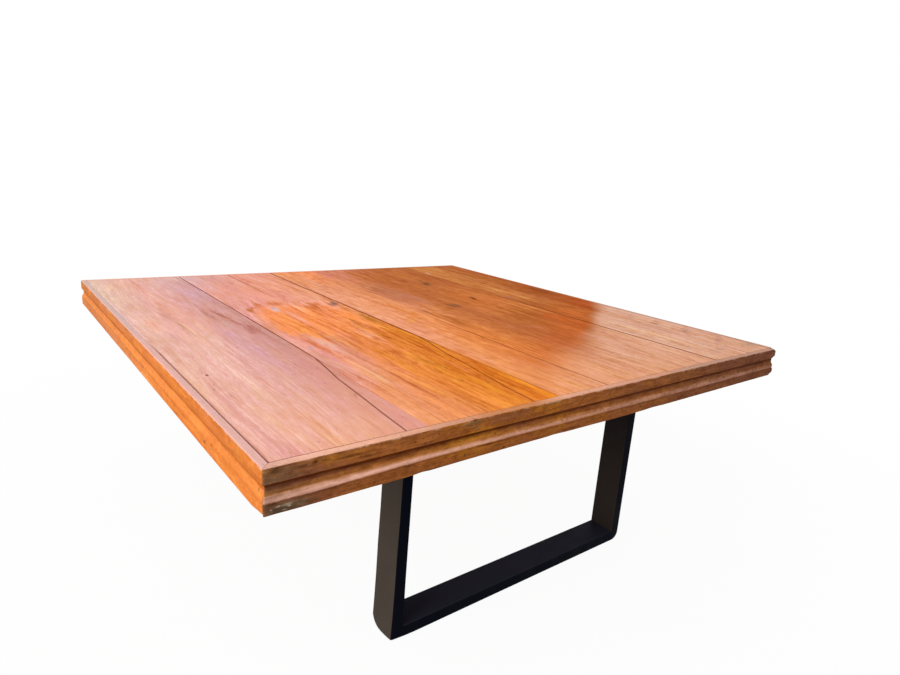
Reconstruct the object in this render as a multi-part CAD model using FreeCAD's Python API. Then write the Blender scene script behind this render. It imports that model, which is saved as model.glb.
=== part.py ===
import FreeCAD, Part
import math
import os

# A large square dining table. A top of ten planks lies inside a mitred frame of moulded edge
# boards, over hidden bearers, and two U-shaped frames of black steel tube carry it.
# Origin on the floor under the middle of the top. +X runs to the right along the front edge,
# +Y runs from the front to the back, along the planks, and +Z is up. Lengths are millimetres.

V = FreeCAD.Vector

# The whole table
table_side = 1960.0
table_height = 760.0
edge_depth = 100.0
cut_overrun = 5.0

# The planks of the top
board_thickness = 30.0
open_gap = 2.6
thin_gap = 1.3
hair_gap = 0.3
left_edge_gap = 1.8
board_chamfer = 0.8
board_end_gap = 0.4

# Where the nine joints between the planks lie across the top, at its back and its front end,
# and how wide each joint stands open at the back, part of the way down, and at the front.
joint_back_shares = (0.0806, 0.1903, 0.3040, 0.4115, 0.5259, 0.6382, 0.7185, 0.8186, 0.9303)
joint_front_shares = (0.0827, 0.1930, 0.3059, 0.4108, 0.5136, 0.6252, 0.7151, 0.8091, 0.9200)
joint_turn_shares = (0.7, 0.704, 0.3, 0.660, 0.6, 0.7, 0.7, 0.5, 0.7)
joint_gaps = (
    (hair_gap, hair_gap, hair_gap),
    (open_gap, open_gap, hair_gap),
    (thin_gap, hair_gap, hair_gap),
    (open_gap, open_gap, thin_gap),
    (hair_gap, thin_gap, thin_gap),
    (hair_gap, hair_gap, hair_gap),
    (hair_gap, hair_gap, hair_gap),
    (thin_gap, open_gap, open_gap),
    (hair_gap, hair_gap, hair_gap),
)

# Two splits in the planks. Each starts at an open joint and wanders to the left up to the
# front end: first the share of the way to the front, then the share of the sideways drift.
split_width = 2.4
split_depth = 16.0
first_split_joint = 1
first_split_drift = 61.0
first_split_shares = ((0.0, 0.0), (0.16, 0.20), (0.36, 0.49), (0.61, 0.68), (0.82, 0.87), (1.0, 1.0))
second_split_joint = 3
second_split_drift = 90.0
second_split_shares = ((0.0, 0.0), (0.13, 0.14), (0.33, 0.42), (0.54, 0.60), (0.82, 0.90), (1.0, 1.0))

# Loose tongues between the planks
tongue_thickness = 8.0
tongue_width = 18.0
tongue_side_clearance = 0.5
tongue_stop = 25.0

# The moulded edge boards
moulding_thickness = 19.5
outer_corner_round = 7.0
lip_drop = 35.0
lip_top_round = 3.5
lip_low_round = 2.5
cove_depth = 7.2
ridge_drop = 69.0
band_round = 3.5

# The cove under the lip: share of its depth, and share of the way down from lip to ridge.
cove_shares = ((0.83, 0.12), (1.0, 0.33), (0.93, 0.49), (0.61, 0.67), (0.19, 0.83), (0.0, 1.0))

# The hidden bearers under the planks
bearer_depth = 60.0
edge_bearer_width = 45.0
leg_bearer_width = 130.0
centre_bearer_width = 70.0

# The steel leg frames
leg_frame_width = 1014.0
leg_bar_width = 100.0
leg_bar_thickness = 36.0
leg_inset = 235.0
leg_corner_radius = 30.0
leg_wall = 3.0
leg_edge_round = 2.0
top_plate_thickness = 6.0

# Screws that hold the planks to the bearers, and the mouldings to the edge bearers
wood_screw_radius = 2.5
wood_screw_head_radius = 4.8
wood_screw_head_height = 3.4
wood_screw_recess = 1.6
wood_screw_recess_width = 1.2
wood_screw_point = 5.0
head_round_share = 0.6
recess_arm_share = 0.6
screw_tip_share = 0.25
screw_clearance = 0.3
head_clearance = 0.7
board_screw_sink = 14.0
board_screw_bite = 20.0
moulding_screw_sink = 12.0
moulding_screw_bite = 9.0
side_screw_offset = 60.0
pilot_extra = 1.0

# Lag screws and washers that hold the leg frames
lag_radius = 4.0
lag_bite = 46.0
lag_head_flats = 13.0
lag_head_height = 5.3
lag_point = 7.0
washer_radius = 8.5
washer_thickness = 1.6
lag_row_spacing = 60.0
lag_column_shares = (-0.44, -0.15, 0.15, 0.44)

# Sizes that follow from those above
half_side = table_side / 2
panel_half = half_side - moulding_thickness
board_bottom = table_height - board_thickness
bearer_bottom = board_bottom - bearer_depth
leg_top = bearer_bottom - top_plate_thickness
leg_centre_y = half_side - leg_inset - leg_bar_width / 2
edge_bearer_y = panel_half - edge_bearer_width / 2
board_count = len(joint_back_shares) + 1


def box(x0, x1, y0, y1, z0, z1):
    """A plain block between two corners."""
    return Part.makeBox(x1 - x0, y1 - y0, z1 - z0, V(x0, y0, z0))


def plan_prism(points, z0, z1):
    """A prism that stands on a plan outline."""
    corners = [V(x, y, z0) for x, y in points]
    face = Part.Face(Part.makePolygon(corners + corners[:1]))
    return face.extrude(V(0, 0, z1 - z0))


def turned(shape, degrees):
    """A copy of the shape, turned about the table's upright axis."""
    copy = shape.copy()
    copy.rotate(V(0, 0, 0), V(0, 0, 1), degrees)
    return copy


def moved(shape, x, y, z):
    """A copy of the shape at another place."""
    copy = shape.copy()
    copy.translate(V(x, y, z))
    return copy


def save(name, shape):
    """Write one named piece."""
    shape.exportStep("parts/" + name + ".step")


def joint_x(joint, y):
    """Where the middle of a joint lies across the top, at a place along the planks."""
    way = (panel_half - y) / (2 * panel_half)
    back = joint_back_shares[joint]
    front = joint_front_shares[joint]
    return (back + (front - back) * way) * 2 * panel_half - panel_half


def joint_edge(joint, side):
    """One side of a joint in plan, from back to front: -1 is its left side, 1 its right."""
    turn_y = panel_half - joint_turn_shares[joint] * 2 * panel_half
    places = (panel_half - board_end_gap, turn_y, board_end_gap - panel_half)
    return [(joint_x(joint, y) + side * gap / 2, y) for y, gap in zip(places, joint_gaps[joint])]


def outer_edge(x):
    """The straight outer side of the first or the last plank."""
    return [(x, panel_half - board_end_gap), (x, board_end_gap - panel_half)]


def board_outline(index):
    """The plan of one plank, counted from the left."""
    left = outer_edge(left_edge_gap - panel_half)
    right = outer_edge(panel_half - board_end_gap)
    if index > 0:
        left = joint_edge(index - 1, 1)
    if index < board_count - 1:
        right = joint_edge(index, -1)
    return left + right[::-1]


def joint_strip(joint, half_width, stop, z0, z1):
    """A straight strip along a joint, for a tongue or its groove."""
    back = panel_half - stop
    front = stop - panel_half
    plan = [
        (joint_x(joint, back) - half_width, back),
        (joint_x(joint, back) + half_width, back),
        (joint_x(joint, front) + half_width, front),
        (joint_x(joint, front) - half_width, front),
    ]
    return plan_prism(plan, z0, z1)


def tongue(joint):
    """The loose tongue in one joint."""
    middle = board_bottom + board_thickness / 2
    low = middle - tongue_thickness / 2
    return joint_strip(joint, tongue_width / 2, tongue_stop, low, low + tongue_thickness)


def groove(joint):
    """The groove that takes the tongue of one joint."""
    middle = board_bottom + board_thickness / 2
    low = middle - tongue_thickness / 2
    half_width = tongue_width / 2 + tongue_side_clearance
    stop = tongue_stop - tongue_side_clearance
    return joint_strip(joint, half_width, stop, low, low + tongue_thickness)


def split(joint, drift, path_shares):
    """The slot of a split that wanders to the left from a joint."""
    start_y = panel_half - joint_turn_shares[joint] * 2 * panel_half
    run = start_y + panel_half
    middle = []
    for way, side in path_shares:
        y = start_y - way * run
        middle.append((joint_x(joint, y) - side * drift, y))
    left = [(x - split_width / 2, y) for x, y in middle]
    right = [(x + split_width / 2, y) for x, y in middle]
    return plan_prism(left + right[::-1], table_height - split_depth, table_height + cut_overrun)


def top_edges_along(board):
    """The long upper edges of a plank, whose arrises are taken off."""
    found = []
    for edge in board.Edges:
        ends = [vertex.Point for vertex in edge.Vertexes]
        on_top = all(abs(end.z - table_height) < board_chamfer / 2 for end in ends)
        run = ends[-1] - ends[0]
        if on_top and abs(run.y) > abs(run.x):
            found.append(edge)
    return found


def bearer_lines():
    """Places along the planks of the five bearers that cross them, from front to back."""
    return (-edge_bearer_y, -leg_centre_y, 0, leg_centre_y, edge_bearer_y)


def side_screw_lines():
    """Places along the side bearers, halfway between the bearers that meet them."""
    lines = bearer_lines()
    return [(a + b) / 2 for a, b in zip(lines, lines[1:])]


def board_middle_x(index, y):
    """The middle of a plank at a place along it."""
    left = joint_x(index - 1, y) if index > 0 else -panel_half
    right = joint_x(index, y) if index < board_count - 1 else panel_half
    return (left + right) / 2


def board_screw_places():
    """Where the screws rise from the bearers into the planks."""
    places = []
    for y in bearer_lines():
        for index in range(board_count):
            places.append((board_middle_x(index, y), y))
    for y in side_screw_lines():
        places.append((-edge_bearer_y, y))
        places.append((edge_bearer_y, y))
    return places


def shank_and_point(radius, length, point):
    """A screw's shank along +Z and the blunt cone that it ends in."""
    shank = Part.makeCylinder(radius, length - point)
    tip = Part.makeCone(radius, radius * screw_tip_share, point, V(0, 0, length - point))
    return [shank, tip]


def wood_screw(length):
    """A pan-head screw, its head's seat at the origin and its shank along +Z."""
    crown = -wood_screw_head_height
    head = Part.makeCylinder(wood_screw_head_radius, wood_screw_head_height, V(0, 0, crown))
    rim = [edge for edge in head.Edges if abs(edge.CenterOfMass.z - crown) < wood_screw_recess / 2]
    head = head.makeFillet(wood_screw_head_height * head_round_share, rim)
    arm = wood_screw_head_radius * recess_arm_share
    slot = wood_screw_recess_width / 2
    head = head.cut(box(-arm, arm, -slot, slot, crown - cut_overrun, crown + wood_screw_recess))
    head = head.cut(box(-slot, slot, -arm, arm, crown - cut_overrun, crown + wood_screw_recess))
    return head.fuse(shank_and_point(wood_screw_radius, length, wood_screw_point)).removeSplitter()


def screw_hole(sink, length):
    """The room for a sunk screw: a wide mouth below the seat at the origin, a shank hole above."""
    mouth_depth = sink + cut_overrun
    mouth = Part.makeCylinder(wood_screw_head_radius + head_clearance, mouth_depth, V(0, 0, -mouth_depth))
    shank = Part.makeCylinder(wood_screw_radius + screw_clearance, length + pilot_extra)
    return mouth.fuse(shank)


def board_screw_length():
    """From the seat in the bearer up into the plank."""
    return bearer_depth - board_screw_sink + board_screw_bite


def board_screws():
    """All the screws that hold the planks."""
    screw = wood_screw(board_screw_length())
    seat = bearer_bottom + board_screw_sink
    return [moved(screw, x, y, seat) for x, y in board_screw_places()]


def board_screw_holes():
    """The holes of those screws."""
    hole = screw_hole(board_screw_sink, board_screw_length())
    seat = bearer_bottom + board_screw_sink
    return [moved(hole, x, y, seat) for x, y in board_screw_places()]


def moulding_screw_length():
    """From the seat in the edge bearer out into the moulding."""
    return edge_bearer_width - moulding_screw_sink + moulding_screw_bite


def laid_forward(shape):
    """Turn a screw or its hole from +Z to -Y and set its seat inside the front bearer."""
    copy = shape.copy()
    copy.rotate(V(0, 0, 0), V(1, 0, 0), 90)
    seat_y = edge_bearer_width - panel_half - moulding_screw_sink
    return moved(copy, 0, seat_y, bearer_bottom + bearer_depth / 2)


def moulding_set(shape):
    """Copies of a screw or its hole at every moulding screw's place on the four sides."""
    laid = laid_forward(shape)
    copies = []
    for joint in range(0, board_count - 1, 2):
        copies.append(moved(laid, joint_x(joint, -panel_half), 0, 0))
        copies.append(turned(moved(laid, -joint_x(joint, panel_half), 0, 0), 180))
    for y in side_screw_lines():
        copies.append(turned(moved(laid, y + side_screw_offset, 0, 0), 90))
        copies.append(turned(moved(laid, y + side_screw_offset, 0, 0), 270))
    return copies


def moulding_screws():
    """All the screws that hold the mouldings."""
    return moulding_set(wood_screw(moulding_screw_length()))


def moulding_screw_holes():
    """The holes of those screws."""
    return moulding_set(screw_hole(moulding_screw_sink, moulding_screw_length()))


def board(index, holes):
    """One plank with its arrises, grooves, split and screw holes."""
    body = plan_prism(board_outline(index), board_bottom, table_height)
    body = body.makeChamfer(board_chamfer, top_edges_along(body))
    cuts = [joint_room for joint_room in holes if joint_room.BoundBox.intersect(body.BoundBox)]
    if index > 0:
        cuts.append(groove(index - 1))
    if index < board_count - 1:
        cuts.append(groove(index))
    if index == first_split_joint:
        cuts.append(split(first_split_joint, first_split_drift, first_split_shares))
    if index == second_split_joint:
        cuts.append(split(second_split_joint, second_split_drift, second_split_shares))
    return body.cut(cuts)


def moulding_profile():
    """The moulded edge's section, at the front: Y inwards from its face, Z up."""
    def at(inwards, drop):
        return V(-half_side, inwards - half_side, table_height - drop)

    def arc(start, through, end):
        return Part.Arc(start, through, end).toShape()

    bend = 1 - math.cos(math.pi / 4)
    r_top, r_low = lip_top_round, lip_low_round
    cove = [at(deep * cove_depth, lip_drop + way * (ridge_drop - lip_drop)) for deep, way in cove_shares]
    under_lip = at(r_low, lip_drop)
    top_inner = at(moulding_thickness, 0)
    bottom_inner = at(moulding_thickness, edge_depth)
    edges = [
        Part.makeLine(top_inner, at(r_top, 0)),
        arc(at(r_top, 0), at(r_top * bend, r_top * bend), at(0, r_top)),
        Part.makeLine(at(0, r_top), at(0, lip_drop - r_low)),
        arc(at(0, lip_drop - r_low), at(r_low * bend, lip_drop - r_low * bend), under_lip),
        arc(under_lip, cove[0], cove[1]),
        arc(cove[1], cove[2], cove[3]),
        arc(cove[3], cove[4], cove[5]),
        Part.makeLine(cove[5], at(0, edge_depth - band_round)),
        arc(
            at(0, edge_depth - band_round),
            at(band_round * bend, edge_depth - band_round * bend),
            at(band_round, edge_depth),
        ),
        Part.makeLine(at(band_round, edge_depth), bottom_inner),
        Part.makeLine(bottom_inner, top_inner),
    ]
    return Part.Face(Part.Wire(edges))


def moulding_blank():
    """The front moulding with its mitred ends and rounded outer corners."""
    rail = moulding_profile().extrude(V(table_side, 0, 0))
    low = table_height - edge_depth - cut_overrun
    high = table_height + cut_overrun
    ends = [
        (-half_side, -half_side),
        (half_side, -half_side),
        (panel_half, -panel_half),
        (-panel_half, -panel_half),
    ]
    rounded = box(-half_side, half_side, -half_side, half_side, low, high)
    upright = [edge for edge in rounded.Edges if abs(edge.tangentAt(edge.FirstParameter).z) > 1 / 2]
    rounded = rounded.makeFillet(outer_corner_round, upright)
    return rail.common(plan_prism(ends, low, high)).common(rounded)


def edge_bearer(turn, holes):
    """A bearer behind one moulding: those at front and back run full length."""
    length = panel_half if turn in (0, 180) else panel_half - edge_bearer_width
    inner = edge_bearer_width - panel_half
    body = turned(box(-length, length, -panel_half, inner, bearer_bottom, board_bottom), turn)
    return body.cut([hole for hole in holes if hole.BoundBox.intersect(body.BoundBox)])


def cross_bearer(y, width, holes):
    """A bearer across the planks, between the side bearers."""
    length = panel_half - edge_bearer_width
    body = box(-length, length, y - width / 2, y + width / 2, bearer_bottom, board_bottom)
    return body.cut([hole for hole in holes if hole.BoundBox.intersect(body.BoundBox)])


def u_face(inset, y):
    """The face of a leg frame's U, drawn in from its outside by an inset."""
    half = leg_frame_width / 2 - inset
    bottom = inset
    inner_half = leg_frame_width / 2 - leg_bar_thickness + inset
    inner_bottom = leg_bar_thickness - inset
    radius = leg_corner_radius - inset
    bend = radius * (1 - math.cos(math.pi / 4))

    def at(x, z):
        return V(x, y, z)

    def corner(side):
        return Part.Arc(
            at(side * half, bottom + radius),
            at(side * (half - bend), bottom + bend),
            at(side * (half - radius), bottom),
        ).toShape()

    edges = [
        Part.makeLine(at(-half, leg_top), at(-half, bottom + radius)),
        corner(-1),
        Part.makeLine(at(radius - half, bottom), at(half - radius, bottom)),
        corner(1),
        Part.makeLine(at(half, bottom + radius), at(half, leg_top)),
        Part.makeLine(at(half, leg_top), at(inner_half, leg_top)),
        Part.makeLine(at(inner_half, leg_top), at(inner_half, inner_bottom)),
        Part.makeLine(at(inner_half, inner_bottom), at(-inner_half, inner_bottom)),
        Part.makeLine(at(-inner_half, inner_bottom), at(-inner_half, leg_top)),
        Part.makeLine(at(-inner_half, leg_top), at(-half, leg_top)),
    ]
    return Part.Face(Part.Wire(Part.__sortEdges__(edges)))


def u_tube():
    """The hollow U of a leg frame, centred on Y = 0, with its long edges eased."""
    half = leg_bar_width / 2
    outer = u_face(0, -half).extrude(V(0, leg_bar_width, 0))
    long_edges = []
    for edge in outer.Edges:
        in_plane = all(abs(abs(vertex.Point.y) - half) < leg_edge_round / 2 for vertex in edge.Vertexes)
        along_y = abs(edge.Vertexes[0].Point.y - edge.Vertexes[-1].Point.y) > half
        at_top = all(abs(vertex.Point.z - leg_top) < leg_edge_round / 2 for vertex in edge.Vertexes)
        if in_plane and not along_y and not at_top:
            long_edges.append(edge)
    outer = outer.makeFillet(leg_edge_round, long_edges)
    hollow = u_face(leg_wall, leg_wall - half).extrude(V(0, leg_bar_width - 2 * leg_wall, 0))
    return outer.cut(hollow)


def mitre_region(side):
    """The upright half of a corner, outside the mitre line: side is -1 or 1."""
    inner_x = side * (leg_frame_width / 2 - leg_bar_thickness)
    reach = leg_bar_thickness + cut_overrun
    y = -leg_bar_width
    corners = [
        V(inner_x, y, leg_bar_thickness),
        V(inner_x, y, leg_top + cut_overrun),
        V(inner_x + side * reach, y, leg_top + cut_overrun),
        V(inner_x + side * reach, y, leg_bar_thickness - reach),
    ]
    return Part.Face(Part.makePolygon(corners + corners[:1])).extrude(V(0, 2 * leg_bar_width, 0))


def lag_places():
    """Lag screw places on a leg frame, from its middle."""
    places = []
    for share in lag_column_shares:
        for side in (-1, 1):
            places.append((share * leg_frame_width, side * lag_row_spacing / 2))
    return places


def top_plate():
    """The plate welded across the tops of a frame's posts, with its screw holes."""
    half = leg_frame_width / 2
    deep = leg_bar_width / 2
    plate = box(-half, half, -deep, deep, leg_top, bearer_bottom)
    hole = Part.makeCylinder(lag_radius + screw_clearance, top_plate_thickness + 2 * cut_overrun)
    return plate.cut([moved(hole, x, y, leg_top - cut_overrun) for x, y in lag_places()])


def lag_screw():
    """A hexagon-head lag screw, its head's seat at the origin and its shank along +Z."""
    across_corners = lag_head_flats / math.cos(math.pi / 6)
    turns = [math.pi / 3 * step for step in range(6)]
    plan = [(across_corners / 2 * math.cos(a), across_corners / 2 * math.sin(a)) for a in turns]
    head = plan_prism(plan, -lag_head_height, 0)
    flat = lag_head_flats / 2
    eased = Part.makeCone(flat, flat + lag_head_height, lag_head_height, V(0, 0, -lag_head_height))
    length = washer_thickness + top_plate_thickness + lag_bite
    return head.common(eased).fuse(shank_and_point(lag_radius, length, lag_point)).removeSplitter()


def washer():
    """A flat washer that lies under a lag screw's head."""
    disc = Part.makeCylinder(washer_radius, washer_thickness)
    return disc.cut(Part.makeCylinder(lag_radius + screw_clearance, washer_thickness))


def lag_holes(leg_y):
    """Pilot holes in the bearer over one leg frame."""
    hole = Part.makeCylinder(lag_radius + screw_clearance, lag_bite + pilot_extra)
    return [moved(hole, x, leg_y + y, bearer_bottom) for x, y in lag_places()]


def leg_frame(name, leg_y):
    """Write the pieces of one leg frame and its fasteners."""
    tube = u_tube()
    left = mitre_region(-1)
    right = mitre_region(1)
    save(name + "_leg_left_post", moved(tube.common(left), 0, leg_y, 0))
    save(name + "_leg_right_post", moved(tube.common(right), 0, leg_y, 0))
    save(name + "_leg_bottom_bar", moved(tube.cut([left, right]), 0, leg_y, 0))
    save(name + "_leg_top_plate", moved(top_plate(), 0, leg_y, 0))
    washer_low = leg_top - washer_thickness
    discs = [moved(washer(), x, leg_y + y, washer_low) for x, y in lag_places()]
    screws = [moved(lag_screw(), x, leg_y + y, washer_low) for x, y in lag_places()]
    save(name + "_leg_washers", Part.makeCompound(discs))
    save(name + "_leg_screws", Part.makeCompound(screws))


def table_top():
    """Write the planks, their tongues and the screws that hold them."""
    holes = board_screw_holes()
    for index in range(board_count):
        save("top_board_%02d" % (index + 1), board(index, holes))
    save("board_tongues", Part.makeCompound([tongue(joint) for joint in range(board_count - 1)]))
    save("board_screws", Part.makeCompound(board_screws()))


def moulded_edge():
    """Write the four mitred edge boards and their screws."""
    blank = moulding_blank()
    holes = moulding_screw_holes()
    for name, turn in (("front", 0), ("right", 90), ("back", 180), ("left", 270)):
        body = turned(blank, turn)
        near = [hole for hole in holes if hole.BoundBox.intersect(body.BoundBox)]
        save("edge_moulding_" + name, body.cut(near))
    save("moulding_screws", Part.makeCompound(moulding_screws()))


def bearers():
    """Write the hidden frame of bearers under the planks."""
    holes = board_screw_holes() + moulding_screw_holes()
    for name, turn in (("front", 0), ("right", 90), ("back", 180), ("left", 270)):
        save("edge_bearer_" + name, edge_bearer(turn, holes))
    save("centre_bearer", cross_bearer(0, centre_bearer_width, holes))
    for name, leg_y in (("front", -leg_centre_y), ("rear", leg_centre_y)):
        save(name + "_leg_bearer", cross_bearer(leg_y, leg_bearer_width, holes + lag_holes(leg_y)))


os.makedirs("parts", exist_ok=True)
table_top()
moulded_edge()
bearers()
leg_frame("front", -leg_centre_y)
leg_frame("rear", leg_centre_y)
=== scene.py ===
import math
from types import SimpleNamespace

import bmesh
import bpy
from mathutils import Matrix, Vector, noise


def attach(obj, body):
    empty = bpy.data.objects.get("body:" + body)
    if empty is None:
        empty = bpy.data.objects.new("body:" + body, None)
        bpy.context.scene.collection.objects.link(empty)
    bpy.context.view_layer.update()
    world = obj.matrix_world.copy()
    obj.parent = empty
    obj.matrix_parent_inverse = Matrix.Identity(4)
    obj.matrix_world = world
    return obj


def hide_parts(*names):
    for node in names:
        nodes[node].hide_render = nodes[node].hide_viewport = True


# Looks for the large square table. Planks, bearers, steel and fixings keep their CAD meshes. The
# four edge mouldings are built again here with the waves, nicks and worn corners of the real ones,
# and the front leg frame's left foot is shaped after the photograph.
# Everything is in metres, in the table's own frame: +X right, +Y to the back, +Z up.

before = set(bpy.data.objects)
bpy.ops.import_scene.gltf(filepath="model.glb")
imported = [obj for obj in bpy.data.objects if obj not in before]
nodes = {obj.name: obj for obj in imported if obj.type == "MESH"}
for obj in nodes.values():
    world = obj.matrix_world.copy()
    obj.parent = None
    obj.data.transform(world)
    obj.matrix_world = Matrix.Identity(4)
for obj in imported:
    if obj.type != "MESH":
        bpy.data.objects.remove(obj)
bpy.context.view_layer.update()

# Half the table's side, its height, and half the side of the planking inside the mouldings
HALF = 0.980
TOP = 0.760
PANEL_HALF = 0.9605


def tone(red, green, blue):
    """A colour as it looks on a screen, 0 to 255, as the linear colour that shaders take."""
    def linear(value):
        share = value / 255
        return share / 12.92 if share <= 0.04045 else ((share + 0.055) / 1.055) ** 2.4
    return (linear(red), linear(green), linear(blue), 1.0)


# Tones of the oiled and worn hardwood; the pale pinkish ones are part wood colour and part painted sheen
PEACH = tone(238, 187, 170)
PEACH_WARM = tone(240, 180, 154)
CREAM = tone(240, 194, 160)
SHELL = tone(244, 192, 176)
BLUSH = tone(232, 166, 150)
DUSTY = tone(226, 168, 162)
HEATHER = tone(210, 150, 158)
LILAC = tone(200, 152, 170)
LILAC_PINK = tone(221, 162, 168)
ROSE = tone(209, 147, 141)
SALMON = tone(236, 160, 144)
CORAL = tone(239, 156, 130)
APRICOT = tone(240, 160, 120)
TAN = tone(235, 151, 98)
SUNNY = tone(248, 150, 98)
AMBER = tone(226, 136, 74)
BRIGHT = tone(246, 146, 72)
OCHRE = tone(218, 127, 46)
GOLD = tone(226, 132, 46)
MARIGOLD = tone(230, 132, 44)
PEACH_GOLD = tone(238, 160, 84)
BURNT = tone(206, 114, 66)
CORAL_BROWN = tone(212, 128, 96)
CORAL_ROSE = tone(224, 134, 112)
ROSE_BROWN = tone(186, 114, 88)
NUT = tone(191, 111, 62)
CHESTNUT = tone(180, 101, 50)
HONEY = tone(200, 124, 67)
COPPER = tone(206, 121, 64)
COPPER_TAN = tone(224, 142, 98)
RUST = tone(160, 82, 36)
EMBER = tone(202, 102, 50)
EMBER_LIGHT = tone(214, 108, 50)
EMBER_GOLD = tone(208, 112, 42)
GOLD_BROWN = tone(186, 108, 40)
CINDER = tone(186, 90, 44)
PALE_TAN = tone(232, 171, 136)
GREY_TAN = tone(218, 164, 142)
SALMON_TAN = tone(226, 158, 124)
RED_VEIN = tone(168, 96, 82)
BROWN_VEIN = tone(184, 122, 112)
SOFT_VEIN = tone(192, 134, 128)
KNOT = tone(112, 70, 46)
KNOT_GREY = tone(140, 98, 92)
SMOKE = tone(206, 161, 158)
OLIVE = tone(180, 110, 44)
GROOVE = tone(98, 36, 14)
BLOOM = tone(236, 170, 154)
PETAL = tone(238, 183, 172)
PEACH_ORANGE = tone(246, 166, 108)
WARM_TAN = tone(240, 166, 118)
SAND = tone(232, 190, 168)
BUTTER = tone(246, 196, 150)
MELON = tone(244, 156, 112)
MELON_PINK = tone(242, 158, 122)
STAIN = tone(242, 146, 86)
TOFFEE = tone(229, 138, 66)
MAUVE_PINK = tone(216, 150, 136)
FAWN = tone(238, 160, 116)
CLAY = tone(192, 118, 84)
DRY_KNOT = tone(150, 114, 70)
DARK_STREAK = tone(118, 54, 34)
BROWN_HALO = tone(158, 98, 54)
LIGHT_HONEY = tone(216, 148, 80)
CREAM_TAN = tone(240, 184, 144)
SALT_TAN = tone(230, 164, 130)
STREAK_TAN = tone(196, 138, 110)
MAUVE_TAN = tone(206, 150, 128)
DUSK_TAN = tone(200, 142, 122)
OLIVE_TAN = tone(176, 144, 116)
RAW = tone(168, 120, 80)
# A pale tone painted into the left gap as light.
GAP_LIGHT = tone(252, 232, 224)
RAW_DARK = tone(120, 80, 52)


# The part of a noise's range that is spread over 0 to 1, and a mark's softness at its rim.
NOISE_LOW = 0.28
NOISE_HIGH = 0.72
SOFT = 0.9


def grey(value):
    """A grey colour with that value in each part."""
    return (value, value, value, 1)


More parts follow.
